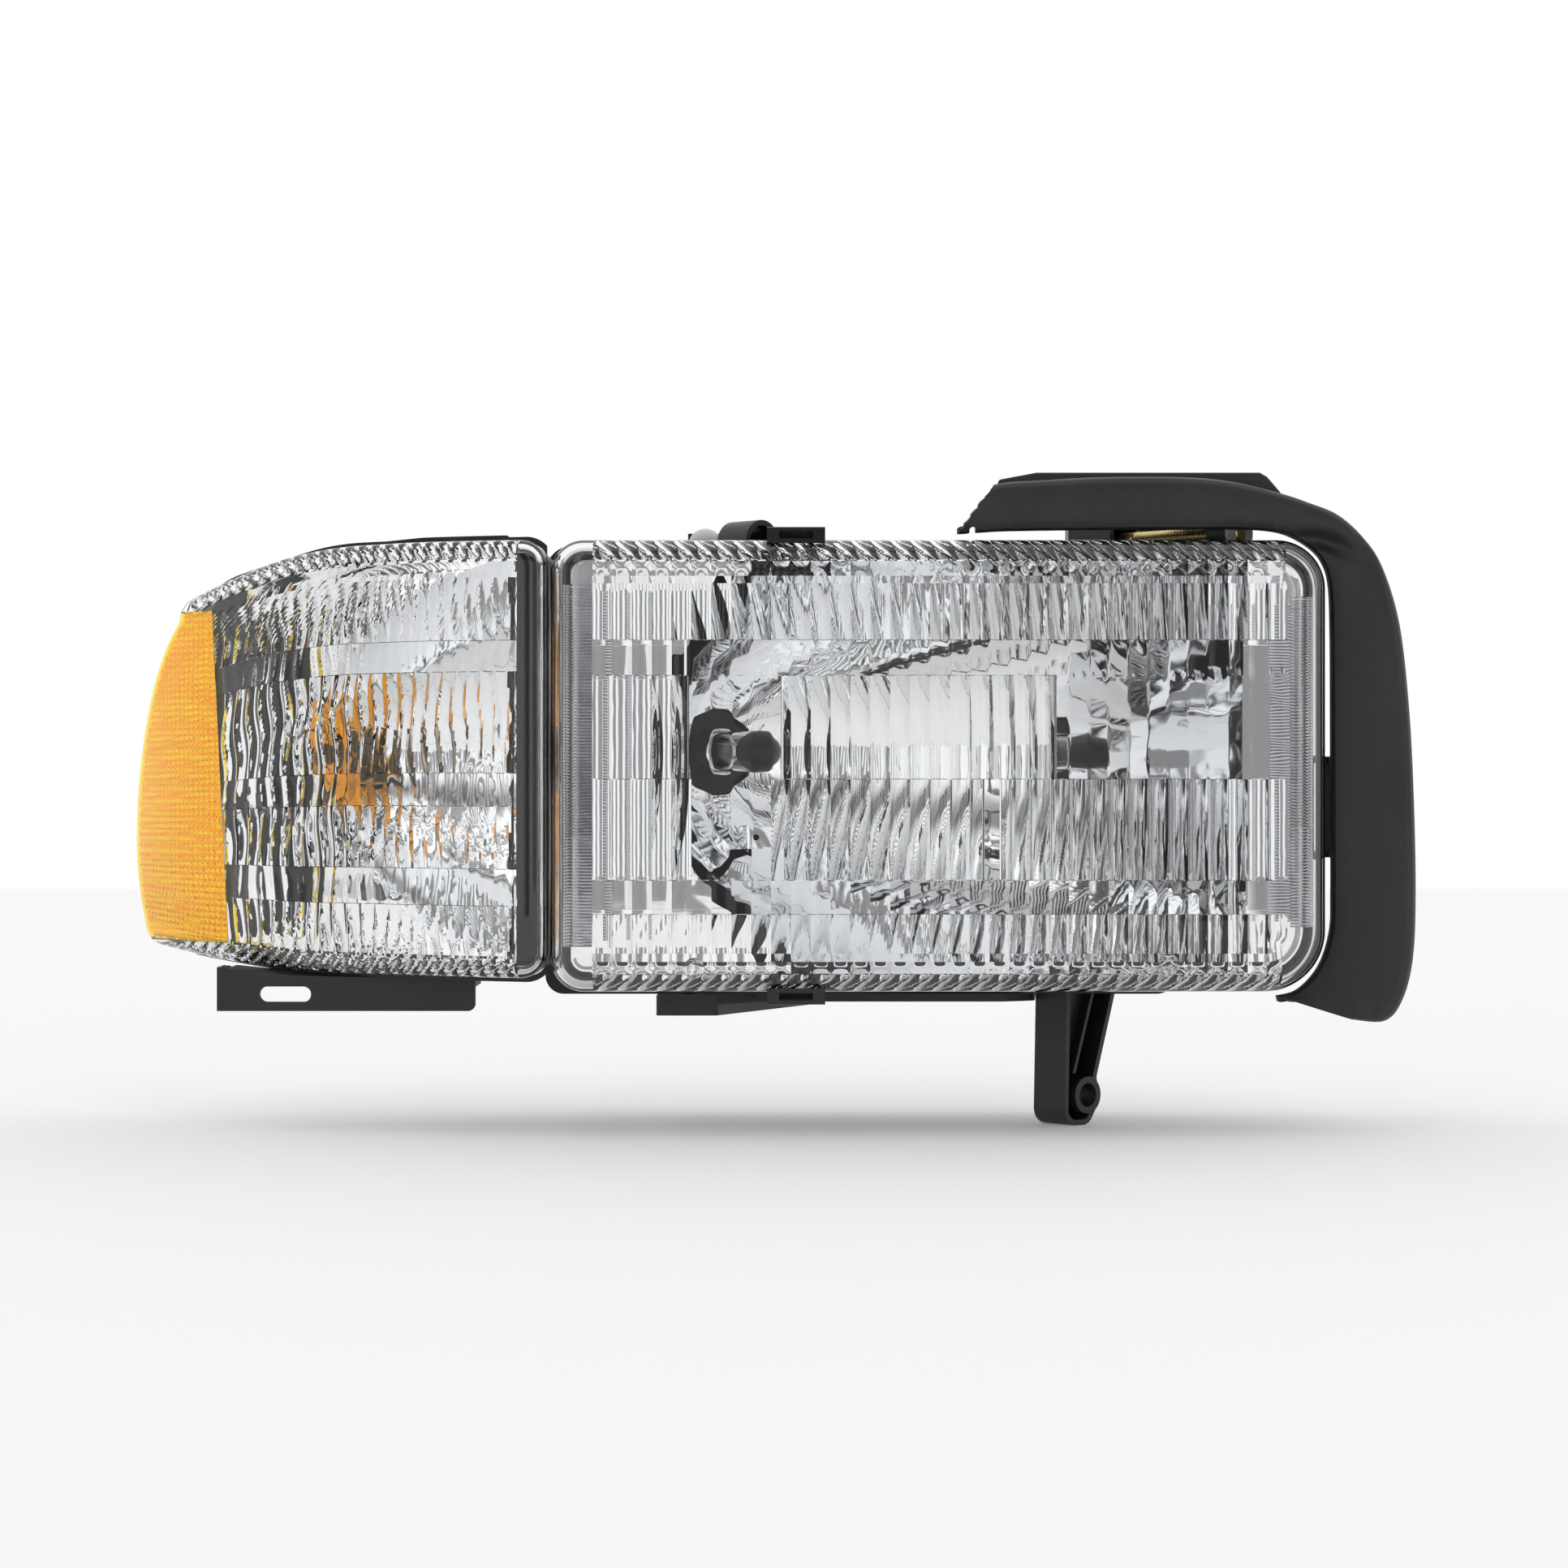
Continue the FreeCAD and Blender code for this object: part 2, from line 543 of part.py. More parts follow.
def make_corner_lenses():
    """One wrapped shell, split into the clear lens and the amber side reflector."""
    wall, depth = size["corner_wall"], size["corner_depth"]
    rim = cut("corner_rim", wrap("wrap_outer", 0), wrap("wrap_rear", depth))
    outer = common("corner_outer", rim, corner_prism("corner_prism_outer", 0))
    inner = common("corner_inner", wrap("wrap_inner", wall),
                   corner_prism("corner_prism_inner", wall, depth="Sizes.wrap_end + 20"))
    shell = cut("corner_shell", outer, inner)
    amber = [(-300.0, -66.5, 0), (-232.8, -66.5, 0), (-240.8, 73.0, 0), (-300.0, 73.0, 0)]
    patch = slab("amber_patch", amber, -20, "160")
    node(cut("clear_shape", shell, patch), "corner_lens")
    node(common("amber_shape", shell, patch), "amber_side_lens")


def rear_plan(shift):
    """Plan outline of the corner housing's back, moved forward by shift."""
    return [(-80.0, -20.0, 0), (-80.0, size["turn_y"] - shift, 0),
            (-215.0 + shift * 0.3, size["turn_y"] - shift, 0), (-262.0, 122.0 - shift * 1.1, 0),
            (-300.0, 122.0 - shift * 1.1, 0), (-300.0, -20.0, 0)]


def marker_frame():
    """Centre and outward direction of the side marker's socket on the sloping back wall."""
    along = Vector(-47.0, 27.0, 0).normalize()
    return Vector(size["marker_x"], size["marker_y"], size["marker_z"]), UP.cross(-along)


TOP_LEDGE = [(-196.0, 95.0, 0), (-113.0, 97.5, 0), (-113.0, 102.8, 2), (-150.0, 102.4, 60),
             (-196.0, 99.0, 0)]


def make_corner_housing():
    """The tub behind the corner lens, with a ledge along its top edge."""
    depth, wall = size["corner_depth"], size["corner_wall"]
    outer = common("tub_outer", wrap("tub_wrap", depth), corner_prism("tub_prism", 0.3),
                   slab("tub_plan", rear_plan(0), -120, "240", "XY_Plane"))
    inner = common("tub_inner", wrap("tub_wrap_inner", depth - 2),
                   corner_prism("tub_prism_inner", 0.3 + wall),
                   slab("tub_plan_inner", rear_plan(wall), -120, "240", "XY_Plane"))
    bosses = [rod(f"tub_boss_{index}", Vector(-135, size["turn_y"] - 1, height), BACK, "6.5",
                  "Sizes.panel_front - Sizes.turn_y + 1") for index, height in enumerate((72, -52))]
    screw_ways = [rod(f"tub_way_{index}", Vector(-135, 97, height), BACK, "Sizes.pin_radius", "60")
                  for index, height in enumerate((72, -52))]
    turn_hole = rod("turn_hole", Vector(size["turn_x"], 80, size["turn_z"]), BACK, "13.1", "30")
    centre, outward = marker_frame()
    marker_hole = rod("marker_hole", centre - outward * 12, outward, "8.1", "30")
    shell = cut("tub_shell", outer, inner)
    ledge_rim = cut("ledge_rim", wrap("ledge_front", 29.5), wrap("ledge_rear", 42))
    ledge = common("ledge", ledge_rim, slab("ledge_outline", TOP_LEDGE, -10, "140"))
    blank = fuse("tub_blank", shell, ledge, *bosses)
    node(cut("tub_shape", blank, *screw_ways, turn_hole, marker_hole), "corner_housing")


def make_corner_reflector():
    """A metallised dish about the turn bulb, facing the vehicle's forward direction."""
    curves = {}
    for name, focal, setback in (("dish_outer", 24.4, 1.2), ("dish_inner", 24.0, 0.0)):
        curve = paraboloid(name, focal, 0)
        vertex = Vector(size["dish_x"], size["dish_y"], size["turn_z"]) - FORWARD * setback
        curve.Placement = Placement(vertex, Rotation(Vector(1, 0, 0), FORWARD))
        curves[name] = curve
    beside = box("dish_side", (-300.0, -20.0, -100.0), (-111.0, 130.0, 120.0))
    room = common("dish_room", corner_prism("dish_prism", 4.0), wrap("dish_wrap", 30),
                  slab("dish_plan", rear_plan(4.2), -120, "240", "XY_Plane"), beside)
    rear = common("dish_blank", curves["dish_outer"], room)
    hole = rod("dish_hole", Vector(size["turn_x"], 60, size["turn_z"]), BACK, "14", "60")
    node(cut("dish_shape", rear, curves["dish_inner"], hole), "corner_reflector")


def make_corner_gasket():
    """A foam strip round the joint of the corner lens and its housing."""
    rim = cut("gasket_rim", wrap("gasket_front", 23), wrap("gasket_rear", 29))
    beside = box("gasket_limit", (-300.0, -60.0, -100.0), (size["lens_left"] - 2.6, 130.0, 120.0))
    outer = common("gasket_outer", rim, corner_prism("gasket_prism", -2.4, -10, "126"), beside)
    node(cut("gasket_shape", outer, corner_prism("gasket_clear", -0.05, -12, "150")),
         "corner_gasket")


def make_socket(prefix, centre, outward, plug, flange, glass, glass_length):
    """A quarter-turn bulb socket with its gasket, wedge bulb and filament."""
    body = turned(prefix + "_body", [
        (0, -7, 0), (plug, -7, 0.5), (plug, 1.5, 0), (flange, 1.5, 0), (flange, 4.5, 0.8),
        (plug - 1, 4.5, 0), (plug - 2, 16, 1), (0, 16, 0)], centre, outward)
    grip = box(prefix + "_grip", (-flange * 0.85, -1.6, 3.5), (flange * 0.85, 1.6, 11))
    grip.Placement = Placement(centre, Rotation(UP, outward)).multiply(grip.Placement)
    slot = rod(prefix + "_slot", centre - outward * 8, outward, f"{glass * 0.72}", "7")
    node(cut(prefix + "_socket_shape", fuse(prefix + "_blank", body, grip), slot),
         prefix + "_socket")
    ring = [(plug + 0.05, 0.02, 0), (flange - 0.4, 0.02, 0), (flange - 0.4, 1.5, 0),
            (plug + 0.05, 1.5, 0)]
    node(turned(prefix + "_gasket_shape", ring, centre, outward), prefix + "_socket_gasket")
    neck = glass * 0.7
    wall = 0.9
    skin = turned(prefix + "_skin", [
        (0, 1, 0), (neck, 1, 0), (neck, 9, 0), (glass, 14, 2),
        (glass, glass_length - glass * 0.55, glass * 0.5), (glass * 0.4, glass_length, 0),
        (0, glass_length, 0)], centre, -outward)
    core = turned(prefix + "_core", [
        (0, 10, 0), (neck - wall, 10, 0), (glass - wall, 15, 0),
        (glass - wall, glass_length - glass * 0.6, glass * 0.4),
        (glass * 0.35, glass_length - wall, 0), (0, glass_length - wall, 0)], centre, -outward)
    node(cut(prefix + "_glass_shape", skin, core), prefix + "_bulb")
    coil = rod(prefix + "_coil", centre - outward * (glass_length * 0.55), UP, "0.7",
               f"{glass * 0.28}")
    posts = [rod(f"{prefix}_post_{index}", centre - outward * 10.0 + UP * (glass * height),
                 -outward, "0.35", f"{glass_length * 0.55 - 11.5}")
             for index, height in enumerate((-0.19, 0.4))]
    node(group(prefix + "_filament_group", coil, *posts), prefix + "_filament")


def make_corner_bracket():
    """A slotted tab under the corner lamp, shaped to its underside."""
    plate = slab("bracket_plate", [(-236.0, -94.5, 3), (-128.5, -94.5, 3), (-128.5, -70.0, 0),
                                   (-230.0, -62.0, 0)], 44, "3")
    foot = box("bracket_foot", (-232.0, 44.0, -84.5), (-128.5, 74.0, -70.0))
    facet = box("bracket_facet", (-236.0, 44.0, -94.5), (-233.0, 64.0, -62.0))
    slots = [rod(f"slot_end_{index}", Vector(place, 40, -87.5), BACK, "Sizes.slot_radius", "10")
             for index, place in enumerate((-215.0, -200.0))]
    slot = box("slot_middle", (-215.0, 40.0, -87.5 - size["slot_radius"]),
               (-200.0, 50.0, -87.5 + size["slot_radius"]))
    underside = corner_prism("bracket_clear", -2.45, 0, "150")
    node(cut("bracket_shape", fuse("bracket_blank", plate, foot, facet), underside, slot, *slots),
         "corner_bracket")


# ---------------------------------------------------------------- bracket and seal

def make_bracket():
    """The moulded carrier: a rimmed panel behind the lamps with its arms and blocks."""
    front = size["panel_front"]
    outline = [(-104.0, -91.5, 8), (165.0, -91.5, 8), (214.0, -60.0, 20), (214.0, 104.0, 12),
               (-104.0, 104.0, 12)]
    panel = slab("panel_plate", outline, "Sizes.panel_front", "Sizes.panel_wall")
    rim = cut("panel_rim", slab("rim_outer", outline, "Sizes.panel_front", "Sizes.rim_depth"),
              slab("rim_inner", inset(outline, size["rim_wall"]), front - 5, "40"))
    window_corners = [(-84.0, -50.0, 24), (146.0, -50.0, 30), (146.0, 80.0, 30), (-84.0, 80.0, 24)]
    window = slab("panel_window", window_corners, front - 10, "60")
    lip = cut("window_lip", slab("lip_outer", inset(window_corners, -3), front, "8"),
              slab("lip_inner", window_corners, front - 10, "60"))

    shelf_outline = [(-53.0, 60.0, 0), (-53.0, 38.0, 3), (-28.0, 38.0, 3), (-10.0, 60.0, 8),
                     (92.0, 60.0, 10), (106.0, 68.0, 5), (110.0, front + 2, 0),
                     (-53.0, front + 2, 0)]
    arm_root = box("arm_root", (100.0, 60.5, -88.0), (152.0, front + 2, -83.5))
    shelf = slab("shelf_plate", shelf_outline, -91.5, "3.5", "XY_Plane")
    block = slab("block_outer", [(-53.0, 38.0, 2), (-28.0, 38.0, 2), (14.0, front + 2, 0),
                                 (-53.0, front + 2, 0)], -96.0, "8", "XY_Plane")
    block_core = slab("block_core", [(-50.0, 41.0, 0), (-30.0, 41.0, 0), (4.0, front - 2, 0),
                                     (-50.0, front - 2, 0)], -98.0, "6.5", "XY_Plane")
    solids = [panel, rim, lip, shelf, arm_root, cut("block_shell", block, block_core)]
    dip = slab("window_dip", [(12.0, -56.0, 5), (86.0, -56.0, 5), (86.0, -45.0, 0),
                              (12.0, -45.0, 0)], front - 10, "60")
    voids = [window, dip, rod("block_hole", Vector(-40, 56, -120), UP, "3.25", "60")]
    for maker in (add_lower_arm, add_pivot_arm, add_ball_boxes, add_corner_tabs, add_seal_posts):
        more_solids, more_voids = maker()
        solids += more_solids
        voids += more_voids
    node(cut("carrier_shape", fuse("carrier_blank", *solids), *voids), "mounting_bracket")


def add_lower_arm():
    """A tapered arm square to the vehicle's forward axis, hollowed round its mount boss."""
    frame = Placement(BOSS, Rotation(Vector(1, 0, 0), SIDEWAYS))
    half = size["arm_boss_depth"] / 2
    wall, rib_wall, web_depth = 2.3, 1.6, 5.0
    outline = [(-12.9, 46.0, 0), (-14.3, -12.4, 7), (0.5, -12.4, 6), (7.6, -2.0, 4),
               (5.2, 7.2, 3), (17.8, 46.0, 0)]
    tray = cut("arm_tray", slab("arm_outer", outline, -half, "Sizes.arm_boss_depth", frame=frame),
               slab("arm_core", inset(outline, wall), -half - 1, f"{2 * half - wall}", frame=frame))
    web = slab("arm_web", [(-13.0, 9.5, 0), (-8.3, 9.5, 0), (3.0, 43.5, 0), (-12.0, 43.5, 0)],
               -half + web_depth, f"{2 * half - web_depth}", frame=frame)
    rib = slab("arm_rib", [(-8.6, 9.5, 0), (-8.6 + rib_wall, 9.5, 0), (3.0 + rib_wall, 43.5, 0),
                           (3.0, 43.5, 0)], -half + 0.5, f"{2 * half - 0.5}", frame=frame)
    boss = rod("arm_boss", BOSS + FORWARD * half, -FORWARD, "Sizes.arm_boss",
               "Sizes.arm_boss_depth")
    bore = rod("arm_bore", BOSS + FORWARD * 20, -FORWARD, "Sizes.arm_bore", "40")
    return [tray, boss, web, rib], [bore]


def add_pivot_arm():
    """The top arm that carries the pivot's ball stud."""
    x, z = size["pivot_x"], size["pivot_z"]
    arm = box("pivot_arm", (x - 8, 86.0, z - 8), (x + 8, size["panel_front"] + 1, z + 7))
    gusset = box("pivot_gusset", (x - 1.5, 96.0, z - 18), (x + 1.5, size["panel_front"] + 1, z))
    return [arm, gusset], [rod("stud_hole", Vector(x, 80, z), BACK, "3", "20.5")]


def add_ball_boxes():
    """Hollow blocks in which the two aiming screws' ball ends rest with room to swing."""
    solids, voids = [], []
    knob = adjuster_point(76)
    turn = Rotation(Vector(1, 0, 0), FORWARD)
    for name, low, high in (("swing_outer", (-13, -9.6, -8.8), (11, 9.6, 8.8)),
                            ("swing_inner", (-9.5, -7.1, -6.3), (14, 7.1, 6.3))):
        block = box(name, low, high)
        block.Placement = Placement(knob, turn).multiply(block.Placement)
        (voids if name.endswith("inner") else solids).append(block)
    solids.append(box("swing_web", (knob.x - 16, knob.y + 4, 90.0),
                      (knob.x + 6, size["panel_front"] + 1, 112.0)))
    voids.append(box("swing_notch", (130.0, 78.0, 90.0), (143.5, 88.5, 98.0)))
    x, z = size["tilt_x"], size["tilt_z"]
    solids.append(box("tilt_outer", (x - 9.5, 97.5, z - 10), (x + 9.5, 128.0, z + 10)))
    voids.append(box("tilt_inner", (x - 6.5, 90.0, z - 7.2), (x + 6.5, 125.5, z + 7.2)))
    return solids, voids


def add_corner_tabs():
    """Two tabs reaching behind the corner lamp, drilled for its screws."""
    front, wall = size["panel_front"], size["panel_wall"]
    tabs, holes = [], []
    for index, height in enumerate((72.0, -52.0)):
        tabs.append(box(f"corner_tab_{index}", (-147.0, front, height - 12),
                        (-100.0, front + wall, height + 12)))
        tabs.append(box(f"corner_rib_{index}", (-147.0, front, height - 1.5),
                        (-102.0, front + 11, height + 1.5)))
        tabs.append(rod(f"tab_pad_{index}", Vector(-135, front, height), BACK, "8", "5"))
        holes.append(rod(f"tab_hole_{index}", Vector(-135, front - 5, height), BACK, "2.6", "10"))
        holes.append(rod(f"tab_seat_{index}", Vector(-135, front + 5, height), BACK, "6.6", "20"))
    return tabs, holes


def add_seal_posts():
    """Posts that reach forward to the filler seal's rear tabs."""
    front = size["panel_front"]
    top = [box("top_pad", (140, 58, 111), (176, 61, 124)),
           box("top_rib_a", (140, 58, 111), (143, front + 4, 124)),
           box("top_rib_b", (173, 58, 111), (176, front + 4, 124)),
           box("top_back", (140, front, 98), (176, front + 4, 124))]
    side = [box("side_pad", (237, 58, -32), (250, 61, 12)),
            box("side_rib_a", (237, 58, -32), (250, front + 4, -29)),
            box("side_rib_b", (237, 58, 9), (250, front + 4, 12)),
            box("side_back", (205, front, -32), (250, front + 4, 12))]
    holes = [rod(f"post_hole_{index}", place, BACK, "Sizes.pin_hole", "12")
             for index, place in enumerate(pin_places())]
    slot = rod("upper_slot", Vector(200, front - 5, 88), BACK, "Sizes.slot_radius", "20")
    return top + side, holes + [slot]


def pin_places():
    return [Vector(149, 50, 117.5), Vector(167, 50, 117.5), Vector(243.5, 50, -23),
            Vector(243.5, 50, 3)]


SEAL_OUTLINE = [(72.6, 103.2, 0), (200.0, 103.8, 0), (200.0, -86.5, 0), (233.0, -97.0, 6),
                (247.0, -98.5, 8), (257.5, -84.0, 16), (259.6, -44.8, 90), (254.5, 62.0, 60),
                (243.0, 95.7, 25), (226.0, 112.0, 20), (205.0, 120.0, 8), (196.5, 128.3, 7),
                (104.0, 128.3, 8), (87.7, 125.8, 4)]


def make_filler_seal():
    """The soft moulding that fills the gap to the grille: a skin with an outer wall."""
    lens_room = lens_block("seal_lens_room", -2.2, -20, "200")
    outer = slab("seal_outer", SEAL_OUTLINE, "Sizes.seal_front", "Sizes.seal_depth")
    reach = [(60.0, 60.0, 0), (180.0, 60.0, 0), (180.0, -86.5, 0)] + SEAL_OUTLINE[3:]
    hollow = slab("seal_hollow", inset(reach, size["seal_wall"]),
                  "Sizes.seal_front + Sizes.seal_wall", "Sizes.seal_depth + 10")
    tabs = [box("seal_tab_top", (138, 55, 111), (178, 58, 127.5)),
            box("seal_tab_side", (237, 55, -34), (257.5, 58, 14))]
    room_behind = box("seal_flap_room", (60.0, 17.0, 95.0), (80.0, 70.0, 122.0))
    holes = [rod(f"seal_hole_{index}", place, BACK, "Sizes.pin_hole", "12")
             for index, place in enumerate(pin_places())]
    skin = cut("seal_skin", outer, hollow, room_behind)
    node(cut("seal_shape", fuse("seal_blank", skin, *tabs), lens_room, *holes), "filler_seal")
    pins = [turned(f"push_pin_{index}", [(0, 0, 0), (5.5, 0, 0.8), (5.5, 1.8, 0),
                                         (size["pin_radius"], 1.8, 0),
                                         (size["pin_radius"], 11, 0), (1.2, 13, 0), (0, 13, 0)],
                   place + BACK * 3.2, BACK) for index, place in enumerate(pin_places())]
    node(group("push_pin_group", *pins), "seal_push_pins")


def make_corner_screws():
    screws = []
    for index, height in enumerate((72.0, -52.0)):
        corners = [(0, 0, 0), (6, 0, 0.4), (6, 2, 0), (4.6, 2, 0), (4.6, 5.2, 0.6), (0, 5.2, 0)]
        head = turned(f"screw_head_{index}", corners, Vector(-135, 123, height), BACK)
        shank = rod(f"screw_shank_{index}", Vector(-135, 101, height), BACK, "Sizes.pin_radius", "23")
        screws.append(fuse(f"screw_{index}", head, shank))
    node(group("screw_group", *screws), "corner_screws")


make_headlamp_lens()
make_lens_sealant()
make_lens_clip("lens_clip_upper", 1)
make_lens_clip("lens_clip_lower", -1)
make_reflector_and_housing()
make_aiming_gear()
make_headlamp_bulb()
make_vent_elbow()
make_corner_lenses()
make_corner_housing()
make_corner_reflector()
make_corner_gasket()
make_socket("turn", Vector(size["turn_x"], size["turn_y"], size["turn_z"]), BACK,
            13.0, 17.0, size["turn_glass"], 50.0)
make_socket("marker", *marker_frame(), 8.0, 11.0, size["marker_glass"], 30.0)
make_corner_bracket()
make_bracket()
make_filler_seal()
make_corner_screws()
doc.recompute()

failed = [item.Name for item in doc.Objects
          if "Invalid" in item.State or "Error" in item.State]
if failed:
    raise RuntimeError(f"failed objects: {failed}")
for item in nodes:
    if item.Shape.isNull() or not item.Shape.isValid():
        raise RuntimeError(f"bad shape: {item.Label}")

os.makedirs("parts", exist_ok=True)
for item in nodes:
    item.Shape.exportStep(f"parts/{item.Label}.step")
    print(f"{item.Label:26s} solids {len(item.Shape.Solids)} volume {item.Shape.Volume:10.0f}")
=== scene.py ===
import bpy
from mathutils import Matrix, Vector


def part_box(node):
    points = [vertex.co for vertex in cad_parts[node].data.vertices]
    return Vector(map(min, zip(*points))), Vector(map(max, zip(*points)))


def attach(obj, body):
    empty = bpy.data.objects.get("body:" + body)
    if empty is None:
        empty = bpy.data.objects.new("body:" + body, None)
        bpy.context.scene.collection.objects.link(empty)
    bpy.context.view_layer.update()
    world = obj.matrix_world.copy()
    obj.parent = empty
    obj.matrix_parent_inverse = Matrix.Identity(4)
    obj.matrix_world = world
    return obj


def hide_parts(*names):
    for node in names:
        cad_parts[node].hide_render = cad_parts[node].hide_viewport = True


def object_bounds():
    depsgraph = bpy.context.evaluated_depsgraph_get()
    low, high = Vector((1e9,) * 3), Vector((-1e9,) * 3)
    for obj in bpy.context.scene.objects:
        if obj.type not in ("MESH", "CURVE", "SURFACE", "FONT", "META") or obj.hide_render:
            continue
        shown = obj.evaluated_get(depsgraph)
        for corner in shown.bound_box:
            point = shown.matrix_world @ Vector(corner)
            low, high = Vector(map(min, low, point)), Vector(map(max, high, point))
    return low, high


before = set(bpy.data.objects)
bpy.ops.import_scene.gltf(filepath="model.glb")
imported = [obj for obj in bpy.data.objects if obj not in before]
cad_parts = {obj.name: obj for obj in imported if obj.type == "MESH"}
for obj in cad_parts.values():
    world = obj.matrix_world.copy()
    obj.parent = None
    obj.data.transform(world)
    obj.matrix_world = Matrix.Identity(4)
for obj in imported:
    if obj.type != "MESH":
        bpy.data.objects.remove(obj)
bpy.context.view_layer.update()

import math

import bmesh
import bpy
from mathutils import Vector

# The front lighting assembly of a pickup. Sizes are millimetres from a datum on the headlamp's
# lens face; mm() turns them into metres in the frame. The lenses, the metallised bowls, the seal
# and the threads are rebuilt as finer meshes; every other CAD node only gets a material.

MM = 0.001
LENS_LEFT, LENS_RIGHT, LENS_BOTTOM, LENS_TOP = -95.0, 220.4, -84.6, 99.4
LENS_DEPTH = 21.0
LENS_LOW, LENS_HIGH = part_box("headlamp_lens")
DATUM = Vector((LENS_LOW[0] - LENS_LEFT * MM, LENS_HIGH[1] - LENS_DEPTH * MM,
                LENS_LOW[2] - LENS_BOTTOM * MM))
BEAM_YAW = math.radians(42.0)
FORWARD = Vector((math.sin(BEAM_YAW), -math.cos(BEAM_YAW), 0.0))
SIDEWAYS = Vector((math.cos(BEAM_YAW), math.sin(BEAM_YAW), 0.0))
UP = Vector((0.0, 0.0, 1.0))
VERTEX = Vector((-31.4, 122.3, 14.0))
FOCAL = 26.0


def mm(x, y, z):
    """A point given in millimetres from the datum, in the frame's metres."""
    return DATUM + Vector((x, y, z)) * MM


# ---------------- mesh helpers

def make_object(name, points, faces, sharp_degrees=30.0, smooth=True):
    """A mesh object from points in datum millimetres."""
    mesh = bpy.data.meshes.new(name)
    mesh.from_pydata([mm(*point) for point in points], [], faces)
    mesh.validate()
    item = bpy.data.objects.new(name, mesh)
    bpy.context.scene.collection.objects.link(item)
    tidy_normals(item, sharp_degrees, smooth)
    return item


def tidy_normals(item, sharp_degrees=30.0, smooth=True):
    """Faces outwards, smooth shading, edges over the angle kept sharp."""
    work = bmesh.new()
    work.from_mesh(item.data)
    bmesh.ops.recalc_face_normals(work, faces=work.faces)
    work.to_mesh(item.data)
    work.free()
    for face in item.data.polygons:
        face.use_smooth = smooth
    item.data.set_sharp_from_angle(angle=math.radians(sharp_degrees))


def grid_faces(rows, columns, start=0, flip=False, closed=False):
    """Quads over a rows by columns lattice of points, columns joined round if closed."""
    faces = []
    spans = columns if closed else columns - 1
    for row in range(rows - 1):
        for column in range(spans):
            ahead = (column + 1) % columns
            quad = (start + row * columns + column, start + row * columns + ahead,
                    start + (row + 1) * columns + ahead, start + (row + 1) * columns + column)
            faces.append(quad[::-1] if flip else quad)
    return faces


def capped_faces(rows, sectors):
    """The faces of a tube of rings with both ends closed."""
    faces = grid_faces(rows, sectors, closed=True)
    faces += [tuple(row * sectors + sector for sector in range(sectors)) for row in (0, rows - 1)]
    return faces


def ring_points(start, axis, side, sectors, outline):
    """Rings of points about an axis from (radius, distance along it) pairs."""
    other = axis.cross(side)
    points = []
    for radius, along in outline:
        for sector in range(sectors):
            turn = 2.0 * math.pi * sector / sectors
            points.append(start + axis * along + side * (radius * math.cos(turn))
                          + other * (radius * math.sin(turn)))
    return points


def spaced(start, end, count):
    """count + 1 evenly spaced values from start to end."""
    return [start + (end - start) * index / count for index in range(count + 1)]


def apply_modifiers(item):
    """Bake an object's modifiers into its mesh."""
    graph = bpy.context.evaluated_depsgraph_get()
    mesh = bpy.data.meshes.new_from_object(item.evaluated_get(graph))
    item.modifiers.clear()
    item.data = mesh


def combine(item, tool, operation):
    """An exact boolean of two closed meshes, baked into the first; the tool is deleted."""
    modifier = item.modifiers.new("combine", "BOOLEAN")
    modifier.operation = operation
    modifier.solver = "EXACT"
    modifier.object = tool
    apply_modifiers(item)
    bpy.data.objects.remove(tool)


def finish_piece(item, body, material, replaced=None):
    """Give a new piece its material, its body and the node it stands for."""
    item.data.materials.clear()
    item.data.materials.append(material)
    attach(item, body)
    if replaced:
        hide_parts(replaced)
    return item


# ---------------- materials

class Nodes:
    """Short calls for making the nodes of one tree."""

    def __init__(self, tree):
        self.tree = tree

    def node(self, kind, inputs=None, **settings):
        made = self.tree.nodes.new(kind)
        for key, value in settings.items():
            setattr(made, key, value)
        for key, value in (inputs or {}).items():
            self.feed(made.inputs[key], value)
        return made

    def feed(self, socket, value):
        if isinstance(value, bpy.types.NodeSocket):
            self.tree.links.new(value, socket)
        else:
            socket.default_value = value

    def math(self, operation, first, second=0.0):
        made = self.node("ShaderNodeMath", {0: first, 1: second}, operation=operation)
        return made.outputs["Value"]

    def ramp(self, value, low, high, from_value=0.0, to_value=1.0):
        made = self.node("ShaderNodeMapRange", {"Value": value, "From Min": low, "From Max": high,
                                                "To Min": from_value, "To Max": to_value})
        return made.outputs["Result"]

    def graded(self, value, table, low, high):
        """A grey read from a table of (value, level) pairs between low and high."""
        made = self.node("ShaderNodeValToRGB", {0: self.ramp(value, low, high)})
        elements = made.color_ramp.elements
        for index, (place, level) in enumerate(table):
            part = (place - low) / (high - low)
            element = elements[index] if index < 2 else elements.new(part)
            element.position = part
            element.color = (level, level, level, 1.0)
        return made.outputs[0]

    def mix(self, factor, first, second):
        """A colour between two colours, each a tuple or another node's output."""
        made = self.node("ShaderNodeMix", {0: factor}, data_type="RGBA")
        for socket, colour in ((6, first), (7, second)):
            self.feed(made.inputs[socket], (*colour, 1.0) if isinstance(colour, tuple) else colour)
        return made.outputs[2]


